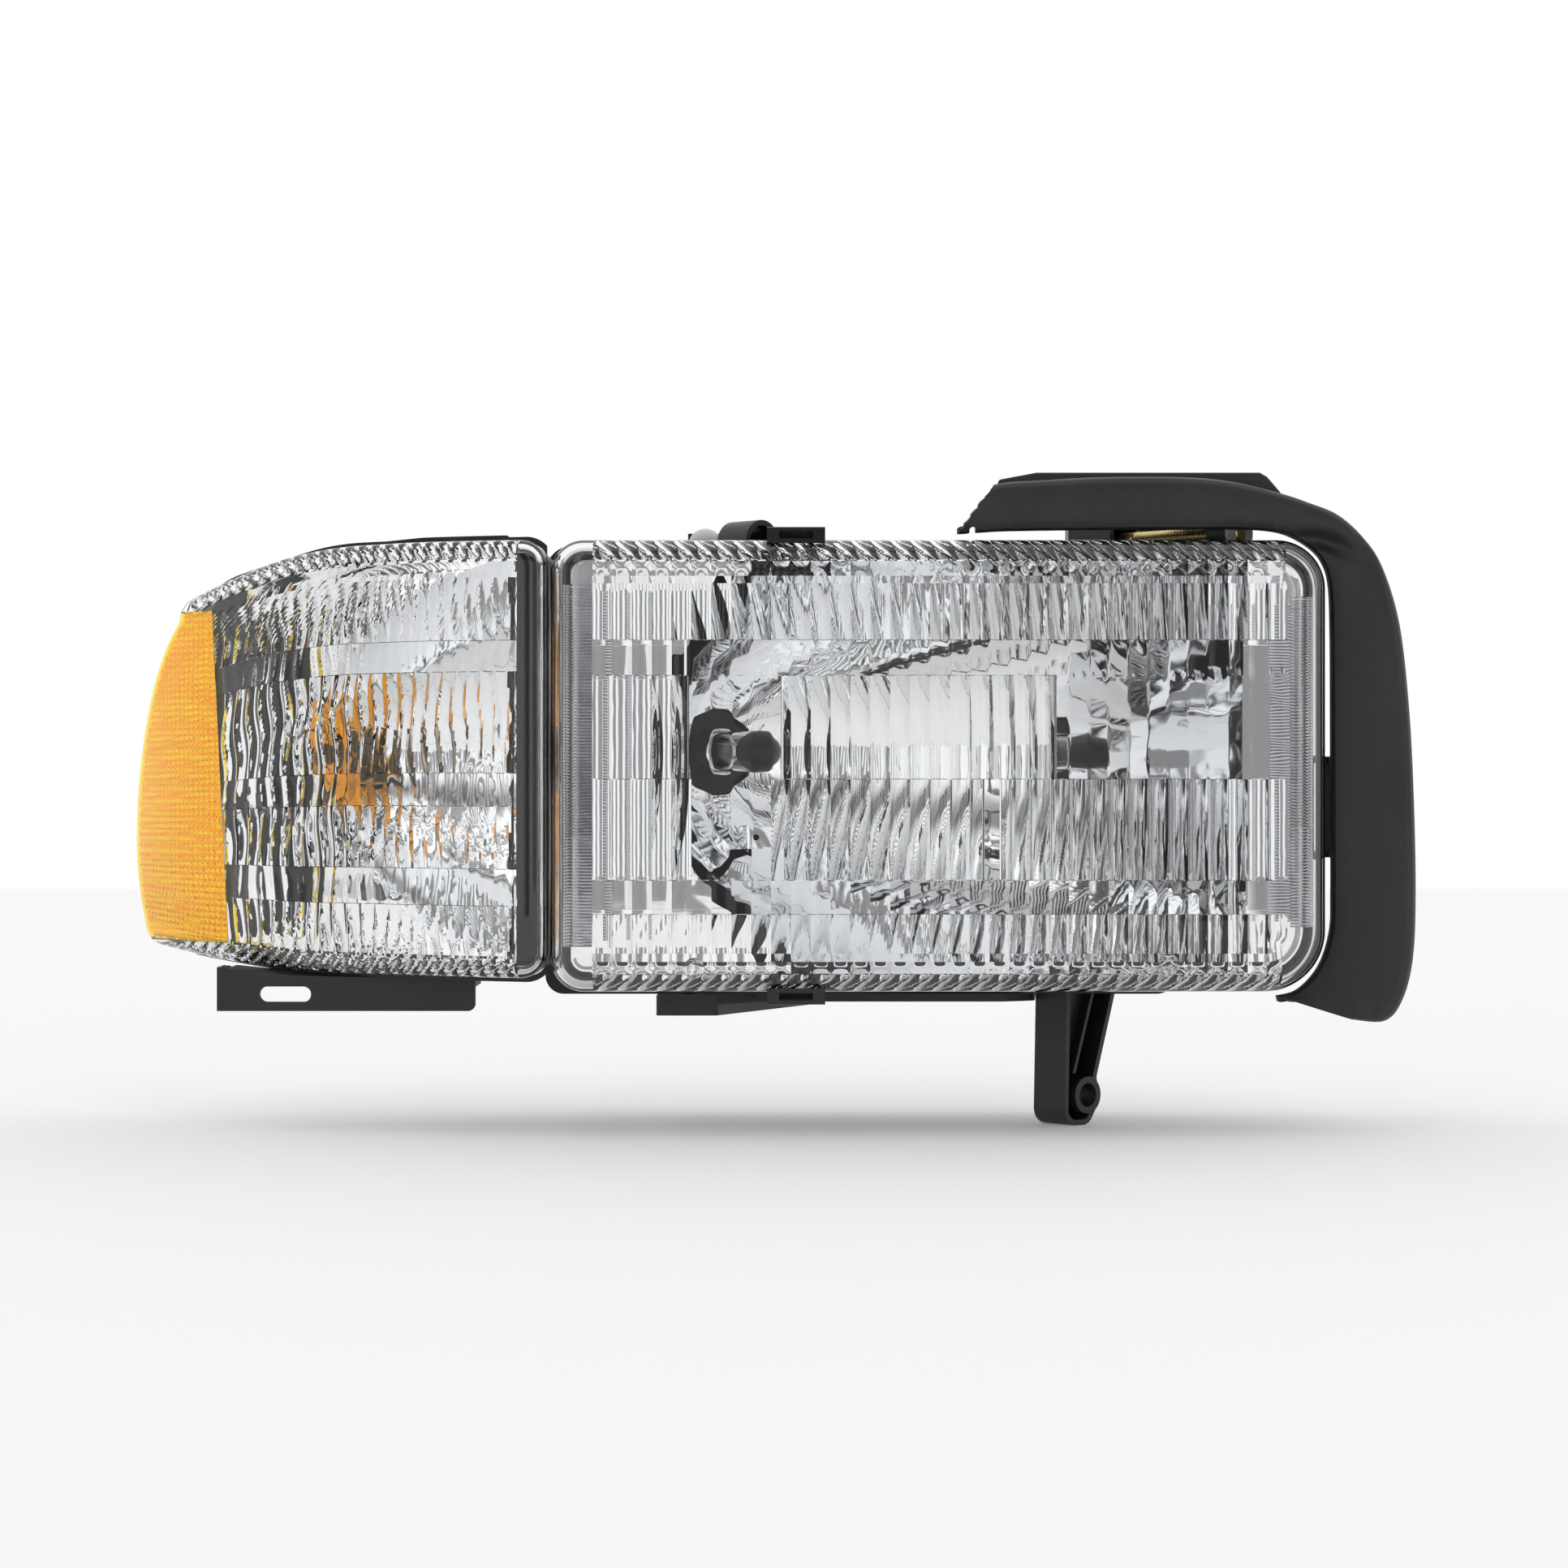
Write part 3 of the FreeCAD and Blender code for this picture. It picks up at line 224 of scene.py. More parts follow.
class Shader(Nodes):
    """A material on a Principled BSDF, textured in the object's own coordinates."""

    def __init__(self, name, colour, roughness, metallic=0.0):
        self.material = bpy.data.materials.new(name)
        self.material.use_nodes = True
        super().__init__(self.material.node_tree)
        self.main = self.tree.nodes["Principled BSDF"]
        self.set("Base Color", (*colour, 1.0))
        self.set("Roughness", roughness)
        self.set("Metallic", metallic)
        self.place = self.node("ShaderNodeTexCoord").outputs["Object"]

    def set(self, key, value):
        self.feed(self.main.inputs[key], value)

    def noise(self, scale, detail=3.0, roughness=0.55, stretch=None):
        place = self.place
        if stretch:
            mapping = self.node("ShaderNodeMapping", {"Vector": place, "Scale": stretch})
            place = mapping.outputs["Vector"]
        made = self.node("ShaderNodeTexNoise", {"Vector": place, "Scale": scale,
                                                "Detail": detail, "Roughness": roughness})
        return made.outputs["Fac"]

    def bump(self, height, distance, strength=1.0):
        made = self.node("ShaderNodeBump", {"Height": height, "Distance": distance,
                                            "Strength": strength})
        self.set("Normal", made.outputs["Normal"])


def moulded_plastic(name, colour, roughness=0.45, grain=0.00006, speckle=0.25):
    """Black or grey moulded plastic with a fine grain, flow marks and rubbed patches."""
    shader = Shader(name, colour, roughness)
    fine = shader.noise(2600.0, 2.0)
    broad = shader.noise(22.0, 4.0)
    lighter = tuple(min(1.0, value * (1 + speckle) + 0.006) for value in colour)
    darker = tuple(value * (1 - speckle) for value in colour)
    shader.set("Base Color", shader.mix(shader.ramp(broad, 0.35, 0.65), darker, lighter))
    shader.set("Roughness", shader.ramp(broad, 0.3, 0.7, roughness - 0.07, roughness + 0.09))
    shader.bump(shader.math("ADD", fine, shader.math("MULTIPLY", broad, 3.0)), grain)
    return shader.material


def rubber(name, colour, roughness=0.5):
    """Soft satin moulding: long shallow waves, fine grain and dusty streaks."""
    shader = Shader(name, colour, roughness)
    waves = shader.noise(14.0, 3.0, 0.5, (1.0, 1.0, 0.45))
    fine = shader.noise(1500.0, 3.0)
    dust = shader.noise(60.0, 6.0, 0.7, (1.0, 1.0, 0.3))
    lighter = tuple(value * 1.35 + 0.004 for value in colour)
    shader.set("Base Color", shader.mix(shader.ramp(dust, 0.45, 0.75), colour, lighter))
    shader.set("Roughness", shader.ramp(waves, 0.3, 0.7, roughness - 0.08, roughness + 0.1))
    height = shader.math("ADD", shader.math("MULTIPLY", waves, 9.0), fine)
    shader.bump(height, 0.00012)
    return shader.material


def plated_metal(name, colour, roughness=0.25, streak=(1.0, 1.0, 1.0), depth=0.00003):
    """Plated or drawn metal with fine streaks and slightly uneven tint."""
    shader = Shader(name, colour, roughness, metallic=1.0)
    streaks = shader.noise(900.0, 3.0, 0.6, streak)
    tint = shader.noise(120.0, 3.0)
    darker = tuple(value * 0.78 for value in colour)
    shader.set("Base Color", shader.mix(shader.ramp(tint, 0.35, 0.65), colour, darker))
    shader.set("Roughness", shader.ramp(streaks, 0.3, 0.7, roughness * 0.8, roughness * 1.4))
    shader.bump(streaks, depth)
    return shader.material


def chrome(name, ripple=0.00035):
    """Vacuum metallised plastic: almost a mirror, with faint moulding ripples."""
    shader = Shader(name, (0.93, 0.935, 0.945), 0.025, metallic=1.0)
    broad = shader.noise(26.0, 2.0, 0.4)
    wave = shader.node("ShaderNodeTexWave", {"Vector": shader.place, "Scale": 34.0,
                                             "Distortion": 5.0, "Detail": 1.0,
                                             "Detail Scale": 1.4}, bands_direction="DIAGONAL")
    height = shader.math("ADD", broad, shader.math("MULTIPLY", wave.outputs["Fac"], 0.16))
    shader.bump(height, ripple, 0.5)
    haze = shader.noise(300.0, 4.0, 0.7)
    shader.set("Roughness", shader.ramp(haze, 0.4, 0.8, 0.015, 0.06))
    return shader.material


def clear_acrylic(name, tint=(0.985, 0.99, 0.992), index=1.49, ripple=0.00002):
    """Clear moulded acrylic with faint flow ripples and hairline scuffs."""
    shader = Shader(name, tint, 0.0)
    shader.set("Transmission Weight", 1.0)
    shader.set("IOR", index)
    flow = shader.noise(70.0, 2.0, 0.5)
    scuffs = shader.noise(600.0, 6.0, 0.8)
    shader.set("Roughness", shader.ramp(scuffs, 0.62, 0.9, 0.0, 0.12))
    shader.bump(flow, ripple, 0.6)
    return shader.material


def amber_acrylic(name):
    """Amber moulded acrylic, its colour deeper in broad random patches."""
    shader = Shader(name, (1.0, 0.72, 0.10), 0.03)
    shader.set("Transmission Weight", 1.0)
    shader.set("IOR", 1.49)
    depth = shader.noise(30.0, 2.0)
    shader.set("Base Color", shader.mix(depth, (1.0, 0.82, 0.10), (1.0, 0.74, 0.05)))
    scuffs = shader.noise(600.0, 5.0, 0.8)
    shader.set("Roughness", shader.ramp(scuffs, 0.6, 0.9, 0.0, 0.15))
    return shader.material


def reflex_prisms_with_painted_glow(name):
    """Amber prisms that send light back: a bright tinted mirror with a painted glow standing in for
    the light they return.
    """
    shader = Shader(name, (1.0, 0.7, 0.03), 0.22, metallic=0.75)
    rows = shader.node("ShaderNodeTexWave", {"Vector": shader.place, "Scale": 118.0},
                       bands_direction="Z")
    columns = shader.node("ShaderNodeTexWave", {"Vector": shader.place, "Scale": 118.0},
                          bands_direction="Y")
    cells = shader.math("MULTIPLY", rows.outputs["Fac"], columns.outputs["Fac"])
    colour = shader.mix(shader.ramp(cells, 0.05, 0.6), (1.0, 0.56, 0.0), (1.0, 0.95, 0.04))
    shader.set("Base Color", colour)
    # Painted glow: the prism cell colour is also emitted, brightest in the yellow cells, though the
    # reflector is no lamp.
    shader.set("Emission Color", colour)
    shader.set("Emission Strength", 0.16)
    grain = shader.noise(900.0, 2.0)
    shader.set("Roughness", shader.ramp(grain, 0.3, 0.7, 0.16, 0.32))
    shader.bump(grain, 0.00002)
    return shader.material


# ---------------- rolled lens shells

def rolled_profile(distance, corner, roll, depth):
    """Reach and setback of a lens section: flat face, rolled edge, then side wall."""
    flat = corner - roll
    if distance <= flat:
        return distance, depth
    bend = (distance - flat) / roll
    if bend <= math.pi / 2:
        return flat + (roll - depth) * math.sin(bend), roll - (roll - depth) * math.cos(bend)
    return corner - depth, roll + distance - flat - roll * math.pi / 2


def corner_turn(along_u, along_v):
    """Profile distance and azimuth of a point in the square patch round a corner."""
    if along_v <= along_u:
        return along_u, math.radians(45.0) * along_v / along_u
    return along_v, math.radians(90.0) - math.radians(45.0) * along_u / along_v


def rolled_corner(over_u, over_v, corner, roll, depth):
    """Offsets of a point past its corner's centre along both edges, and how far back it lies."""
    if over_u <= 0 and over_v <= 0:
        return over_u, over_v, depth
    if over_v <= 0:
        reach, back = rolled_profile(over_u, corner, roll, depth)
        return reach, over_v, back
    if over_u <= 0:
        reach, back = rolled_profile(over_v, corner, roll, depth)
        return over_u, reach, back
    distance, azimuth = corner_turn(over_u, over_v)
    reach, back = rolled_profile(distance, corner, roll, depth)
    return reach * math.cos(azimuth), reach * math.sin(azimuth), back


def flute(phase):
    """One rounded flute per unit of phase: 0 at the valleys and 1 at the crests."""
    part = phase - math.floor(phase)
    return 1.0 - (2.0 * part - 1.0) ** 2


def plain(_u, _v):
    """No relief."""
    return 0.0


def shell(name, u_lines, v_lines, place, wall, relief, sharp_degrees=13.0, skin=plain):
    """A closed lens shell: an outer skin, an inner skin carrying the relief, and a rim."""
    rows = len(v_lines)
    columns = len(u_lines)
    outer = [place(u, v, skin(u, v)) for v in v_lines for u in u_lines]
    inner = [place(u, v, wall + relief(u, v)) for v in v_lines for u in u_lines]
    faces = grid_faces(rows, columns) + grid_faces(rows, columns, len(outer), flip=True)
    rim = list(range(columns))
    rim += [row * columns + columns - 1 for row in range(1, rows)]
    rim += [(rows - 1) * columns + column for column in range(columns - 2, -1, -1)]
    rim += [row * columns for row in range(rows - 2, 0, -1)]
    for first, second in zip(rim, rim[1:] + rim[:1]):
        faces.append((second, first, first + len(outer), second + len(outer)))
    return make_object(name, outer + inner, faces, sharp_degrees)


# ---------------- headlamp lens

LENS_ROLL = 12.5
LENS_WALL = 3.0
LEFT_CORNER, UPPER_RIGHT_CORNER, LOWER_RIGHT_CORNER = 13.5, 20.0, 25.0
FLUTE_PITCH = 8.04
FLUTES_FROM, FLUTES_TO = -77.6, 203.8
EDGE_RUN = LENS_ROLL * math.pi / 2 + LENS_DEPTH - LENS_ROLL
# Height limits of each band of flutes and the height of the flutes in it.
LENS_BANDS = [(58.4, 84.3, 1.7), (44.0, 58.4, 0.16), (2.0, 44.0, 1.4), (-39.0, 2.0, 1.7),
              (-52.8, -39.0, 0.3), (-72.0, -52.8, 1.7)]
UPPER_FACETS = (84.3, 92.0)
LOWER_FACETS = (-78.5, -72.0)
FACET_HEIGHT = 0.9
FLUTE_END = 4.0
ROPE_RUN = 20.0
# Clear windows: left, right, bottom and top.
LENS_WINDOWS = [(-38.7, -0.3, 2.0, 44.0), (-37.4, -5.2, -39.0, 2.0), (109.6, 203.0, 2.0, 44.0),
                (80.4, 87.9, -39.0, 2.0)]
WINDOW_LINE = 0.07
# The shallow bands are fluted more strongly to the left of this position.
STREAK_LIMIT, STREAK_HEIGHT = -40.0, 0.6
ROPE_HEIGHT = 1.0
ROPE_SLANT = 0.9


def lens_place(u, v, depth):
    """A point of the headlamp lens from unrolled face coordinates."""
    side_u = 1.0 if u > (LENS_LEFT + LENS_RIGHT) / 2.0 else -1.0
    side_v = 1.0 if v > 0.0 else -1.0
    corner = LEFT_CORNER
    if side_u > 0:
        corner = UPPER_RIGHT_CORNER if side_v > 0 else LOWER_RIGHT_CORNER
    centre_u = LENS_RIGHT - corner if side_u > 0 else LENS_LEFT + corner
    centre_v = LENS_TOP - corner if side_v > 0 else LENS_BOTTOM + corner
    over_u, over_v, back = rolled_corner((u - centre_u) * side_u, (v - centre_v) * side_v, corner,
                                         LENS_ROLL, depth)
    return (centre_u + side_u * over_u, back, centre_v + side_v * over_v)


def lens_relief(u, v):
    """Flute height on the inside of the headlamp lens."""
    phase = (u - FLUTES_FROM) / FLUTE_PITCH
    if not FLUTES_FROM < u < FLUTES_TO:
        return 0.0
    for over in (v - UPPER_FACETS[1], LOWER_FACETS[0] - v):
        if 0.0 < over < ROPE_RUN:
            return ROPE_HEIGHT * flute(phase + ROPE_SLANT * over / FLUTE_PITCH)
    for bottom, top in (UPPER_FACETS, LOWER_FACETS):
        if bottom < v < top:
            return FACET_HEIGHT * flute(phase) * flute((v - bottom) / (top - bottom))
    for left, right, bottom, top in LENS_WINDOWS:
        if left < u < right and bottom < v < top:
            return WINDOW_LINE * flute(phase)
    for bottom, top, height in LENS_BANDS:
        if bottom < v < top:
            if u < STREAK_LIMIT:
                height = max(height, STREAK_HEIGHT)
            return height * flute(phase) * end_rounding(v, bottom, top)
    return 0.0


def end_rounding(v, bottom, top):
    """The outer rows of flutes run out in rounded ends."""
    over = 0.0
    if bottom == LENS_BANDS[-1][0]:
        over = max(0.0, 1.0 - (v - bottom) / FLUTE_END)
    if top == LENS_BANDS[0][1]:
        over = max(over, 1.0 - (top - v) / FLUTE_END)
    return math.sqrt(max(0.0, 1.0 - over * over))


def stepped_lines(edges, spacing, lip=0.12):
    """Grid lines that step closely across each edge and are evenly spaced in between."""
    lines = []
    for start, end in zip(edges, edges[1:]):
        count = max(1, round((end - start) / spacing))
        span = spaced(start + lip, end - lip, count)
        lines += span
    return [edges[0]] + lines[1:-1] + [edges[-1]]


def lens_lines():
    """The grid lines of the headlamp lens, across and up."""
    flat_left, flat_right = LENS_LEFT + LENS_ROLL, LENS_RIGHT - LENS_ROLL
    flutes = round((FLUTES_TO - FLUTES_FROM) / FLUTE_PITCH)
    across = spaced(flat_left - EDGE_RUN, FLUTES_FROM, 26)[:-1]
    across += spaced(FLUTES_FROM, FLUTES_TO, flutes * 8)
    across += spaced(FLUTES_TO, flat_right + EDGE_RUN, 26)[1:]
    flat_bottom, flat_top = LENS_BOTTOM + LENS_ROLL, LENS_TOP - LENS_ROLL
    edges = sorted({edge for bottom, top, _ in LENS_BANDS for edge in (bottom, top)})
    up = spaced(flat_bottom - EDGE_RUN, edges[0], 28)[:-1]
    up += stepped_lines(edges, 3.0)
    up += spaced(edges[-1], flat_top + EDGE_RUN, 31)[1:]
    return across, up


def make_headlamp_lens(material):
    """The fluted lens with its clear windows, rope edges and facet rows."""
    across, up = lens_lines()
    lens = shell("fluted_headlamp_lens", across, up, lens_place, LENS_WALL, lens_relief)
    return finish_piece(lens, "headlamp", material, "headlamp_lens")


# ---------------- metallised bowls

def joined_outlines(name, near, far):
    """A closed solid between two matching outlines of points."""
    count = len(near)
    faces = [tuple(range(count)), tuple(range(2 * count - 1, count - 1, -1))]
    faces += [(index, (index + 1) % count, (index + 1) % count + count, index + count)
              for index in range(count)]
    return make_object(name, near + far, faces)


def prism(name, outline, front, back):
    """A closed prism between two depths from an outline of (x, z) points."""
    return joined_outlines(name, [(x, front, z) for x, z in outline],
                           [(x, back, z) for x, z in outline])


def upright_prism(name, plan, low, high):
    """A closed prism of level plan outline (x, y) between two heights."""
    return joined_outlines(name, [(x, y, low) for x, y in plan],
                           [(x, y, high) for x, y in plan])


def rounded_rectangle(inset, steps=10):
    """The headlamp lens outline moved inwards, as (x, z) points."""
    outline = []
    corners = [(LENS_RIGHT, LENS_TOP, UPPER_RIGHT_CORNER, 0), (LENS_LEFT, LENS_TOP, LEFT_CORNER, 90),
               (LENS_LEFT, LENS_BOTTOM, LEFT_CORNER, 180),
               (LENS_RIGHT, LENS_BOTTOM, LOWER_RIGHT_CORNER, 270)]
    for x, z, radius, start in corners:
        centre_x = x - math.copysign(radius, x)
        centre_z = z - math.copysign(radius, z)
        for angle in spaced(start, start + 90.0, steps):
            turn = math.radians(angle)
            outline.append((centre_x + (radius - inset) * math.cos(turn),
                            centre_z + (radius - inset) * math.sin(turn)))
    return outline


def paraboloid_solid(name, vertex, focal, reach, rings, sectors):
    """A closed dish of revolution about the beam axis, open end capped flat."""
    radii = spaced(0.0, reach, rings)[1:]
    points = ring_points(vertex, FORWARD, SIDEWAYS, sectors,
                         [(radius, radius * radius / (4.0 * focal)) for radius in radii])
    apex = len(points)
    faces = grid_faces(rings, sectors, closed=True)
    faces += [(apex, (sector + 1) % sectors, sector) for sector in range(sectors)]
    faces.append(tuple(range(apex - sectors, apex)))
    return make_object(name, points + [vertex], faces)


def lathe(name, start, axis, outline, sectors=48, sharp_degrees=30.0):
    """A closed solid of revolution from (radius, distance along the axis) points."""
    rows = len(outline)
    points = ring_points(start, axis, axis.orthogonal().normalized(), sectors, outline)
    return make_object(name, points, capped_faces(rows, sectors), sharp_degrees)


def cylinder_solid(name, start, axis, radius, length, sectors=64):
    """A closed cylinder from a start point along an axis."""
    return lathe(name, start, axis, [(radius, 0.0), (radius, length)], sectors)


BOWL_INSET, STEP_INSET = 8.0, 4.0
BOWL_REACH, BOWL_REAR = 260.0, 160.0
BOWL_FRONT, BOWL_SKIN = 23.6, 1.0
STEP_FRONT, STEP_DEPTH = -40.0, 33.0
SIDE_WALL, FAR_SIDE = 104.0, -300.0
BULB_HOLE_RADIUS = 19.0
# The flat side wall meets the dish at a shallow angle, and that edge has to stay sharp.
BOWL_SHARP_DEGREES = 14.0


def hollow_out(item, is_cap, thickness):
    """Delete the faces is_cap picks and give the rest a skin of the thickness outwards."""
    work = bmesh.new()
    work.from_mesh(item.data)
    caps = [face for face in work.faces if is_cap(face)]
    bmesh.ops.delete(work, geom=caps, context="FACES")
    work.to_mesh(item.data)
    work.free()
    thicken = item.modifiers.new("thicken", "SOLIDIFY")
    thicken.thickness = thickness * MM
    thicken.offset = 1.0
    apply_modifiers(item)


def beam_block(name, left, right):
    """A tall block along the beam axis between two distances to its side."""
    plan = []
    for along, side in ((-40.0, left), (-40.0, right), (320.0, right), (320.0, left)):
        place = VERTEX + FORWARD * along + SIDEWAYS * side
        plan.append((place.x, place.y))
    return upright_prism(name, plan, -200.0, 200.0)


def make_reflector_bowl(material):
    """The boxed paraboloid: straight walls, a flat step, one flat side and the bulb hole."""
    bowl = paraboloid_solid("metallised_bowl", VERTEX, FOCAL, BOWL_REACH, 190, 240)
    combine(bowl, beam_block("bulb_side", FAR_SIDE, SIDE_WALL), "INTERSECT")
    step = prism("bowl_step", rounded_rectangle(STEP_INSET), STEP_FRONT, STEP_DEPTH)
    combine(bowl, step, "UNION")
    walls = prism("bowl_walls", rounded_rectangle(BOWL_INSET), BOWL_FRONT, BOWL_REAR)
    combine(bowl, walls, "INTERSECT")
    front = mm(0.0, BOWL_FRONT, 0.0).y
    hollow_out(bowl, lambda face: abs(face.calc_center_median().y - front) < 0.05 * MM
               and abs(face.normal.y) > 0.99, BOWL_SKIN)
    tidy_normals(bowl, 28.0)
    hole = cylinder_solid("bulb_hole", VERTEX - FORWARD * 20.0, FORWARD, BULB_HOLE_RADIUS, 60.0)
    combine(bowl, hole, "DIFFERENCE")
    tidy_normals(bowl, BOWL_SHARP_DEGREES)
    return finish_piece(bowl, "headlamp", material, "reflector_bowl")


# ---------------- corner lamp

WRAP_CENTRE_X, WRAP_CENTRE_Y, WRAP_RADIUS = -85.0, 230.4, 228.7
CORNER_LEFT, CORNER_RIGHT, CORNER_BOTTOM, CORNER_TOP = -286.2, -96.8, -79.2, 99.4
CORNER_ROLL, CORNER_ROUND, CORNER_WALL, CORNER_RIM = 8.0, 11.0, 2.8, 24.0
CORNER_BACK = 121.5
# Left edge of the corner lens as heights and x positions, and its bottom edge as x and heights.
LEFT_EDGE = [(-72.5, -274.2), (-60.0, -280.0), (-40.0, -284.0), (-25.0, -285.0), (0.0, -283.7),
             (25.0, -279.6), (50.0, -272.6), (70.0, -261.5), (84.0, -248.0), (99.0, -232.0)]
BOTTOM_EDGE = [(-290.0, -67.5), (-266.0, -71.0), (-235.0, -75.0), (-200.0, -77.6), (-96.0, -79.2)]
TOP_EDGE = [(-290.0, 66.0), (-262.0, 77.5), (-243.0, 85.0), (-215.0, 93.8), (-188.0, 97.8),
            (-150.0, 99.0), (-96.0, 99.4)]
AMBER_EDGE = [(-66.5, -232.8), (73.0, -240.8)]


def between(table, value):
    """Linear reading of a table of (key, value) pairs."""
    for (low, first), (high, second) in zip(table, table[1:]):
        if value <= high:
            part = max(0.0, (value - low) / (high - low))
            return first + (second - first) * part
    return table[-1][1]


def smooth_between(table, value, spread=9.0):
    """A reading of the table averaged over a short span, which rounds its corners."""
    total = sum(between(table, value + spread * step) for step in (-1.0, -0.5, 0.0, 0.5, 1.0))
    return total / 5.0


def arc_of(x):
    """Length along the wrap from its crown for a position across the front."""
    return WRAP_RADIUS * math.asin((x - WRAP_CENTRE_X) / WRAP_RADIUS)


def on_wrap(arc, z, depth):
    """A point a given depth inside the wrap surface, then straight back past the roll."""
    turn = arc / WRAP_RADIUS
    radius = WRAP_RADIUS - min(depth, CORNER_ROLL)
    crown = WRAP_CENTRE_Y - radius * math.cos(turn)
    share = min(1.0, (CORNER_BACK - crown) / (CORNER_RIM - CORNER_ROLL))
    back = crown + share * max(0.0, depth - CORNER_ROLL)
    return (WRAP_CENTRE_X + radius * math.sin(turn), back, z)


CORNER_INNER_RIGHT = arc_of(CORNER_RIGHT) - CORNER_ROUND
CORNER_SPAN = CORNER_INNER_RIGHT - (arc_of(CORNER_LEFT) + CORNER_ROUND)
CORNER_HEIGHT = CORNER_TOP - CORNER_ROUND - (CORNER_BOTTOM + CORNER_ROUND)
CORNER_RUN = CORNER_ROUND - CORNER_ROLL + CORNER_ROLL * math.pi / 2 + CORNER_RIM - CORNER_ROLL


def corner_place(u, v, depth):
    """A point of the corner lens: u runs left from its right edge, v up from its bottom."""
    part_u = min(1.0, max(0.0, u / CORNER_SPAN))
    part_v = min(1.0, max(0.0, v / CORNER_HEIGHT))
    arc = CORNER_INNER_RIGHT - part_u * CORNER_SPAN
    for _ in range(3):
        x = on_wrap(arc, 0.0, 0.0)[0]
        bottom = smooth_between(BOTTOM_EDGE, x) + CORNER_ROUND
        top = smooth_between(TOP_EDGE, x) - CORNER_ROUND
        z = bottom + part_v * (top - bottom)
        left = arc_of(smooth_between(LEFT_EDGE, z)) + CORNER_ROUND
        arc = CORNER_INNER_RIGHT + part_u * (left - CORNER_INNER_RIGHT)
    over_u = u - CORNER_SPAN if u > CORNER_SPAN else -u
    over_v = v - CORNER_HEIGHT if v > CORNER_HEIGHT else -v
    side_u = -1.0 if u > CORNER_SPAN else 1.0
    side_v = 1.0 if v > CORNER_HEIGHT else -1.0
    over_u, over_v, back = rolled_corner(over_u, over_v, CORNER_ROUND, CORNER_ROLL, depth)
    return on_wrap(arc + side_u * max(0.0, over_u), z + side_v * max(0.0, over_v), back)


CORNER_PITCH, CORNER_ROPE_SLANT = 5.6, 0.55
CORNER_BANDS = [(-76.8, -49.9, 1.1), (-49.9, -34.8, 0.35), (-34.8, -9.2, 1.1), (-9.2, 4.3, 0.5),
                (4.3, 45.6, 1.1), (45.6, 58.4, 0.35), (58.4, 84.9, 1.1)]


def corner_relief(u, v):
    """Waved flutes in bands on the clear part, rope flutes on its rolled edges."""
    over = max(v - CORNER_HEIGHT, -v)
    if u < 2.0 or u > CORNER_SPAN + 2.0:
        return 0.0
    phase = corner_place(u, v, 0.0)[0] / CORNER_PITCH
    if over > 3.0:
        return flute(phase + CORNER_ROPE_SLANT * over / CORNER_PITCH) if over < 18.0 else 0.0
    height = CORNER_BOTTOM + CORNER_ROUND + v
    sway = 0.14 * math.sin(height / 6.5 + u / 9.0)
    for bottom, top, depth in CORNER_BANDS:
        if bottom < height < top:
            middle = (height - bottom) / (top - bottom)
            pillow = 0.45 * (1.0 - (2.0 * middle - 1.0) ** 2)
            return depth * flute(phase + sway) * (0.65 + pillow)
    return 0.0


def amber_relief(u, v):
    """Small six-sided prisms in staggered rows inside the amber part."""
    pitch = 3.4
    row = v / (pitch * 0.86)
    shift = 0.5 if math.floor(row) % 2 else 0.0
    across = u / pitch + shift
    in_u = 2.0 * (across - math.floor(across)) - 1.0
    in_v = 2.0 * (row - math.floor(row)) - 1.0
    facet = 1.0 - max(abs(in_u), abs(in_v) * 0.85 + abs(in_u) * 0.3)
    inside = 0.0 < u < CORNER_SPAN + 4.0 and -3.0 < v < CORNER_HEIGHT + 3.0
    return 0.9 * max(0.0, facet) if inside else 0.0


def amber_limits():
    """The prism that takes the amber part out of the corner lens."""
    bottom, top = AMBER_EDGE
    outline = [(-300.0, bottom[0]), (bottom[1], bottom[0]), (top[1], top[0]), (-300.0, top[0])]
    return prism("amber_limits", outline, -20.0, 160.0)


AMBER_SKIN = 1.2
MIRROR_DEPTH = 3.0


def prism_depth(u, v):
    """Depth of the reflex prisms' front under the amber skin."""
    return AMBER_SKIN + 0.1 + 1.3 * (0.9 - amber_relief(u, v))


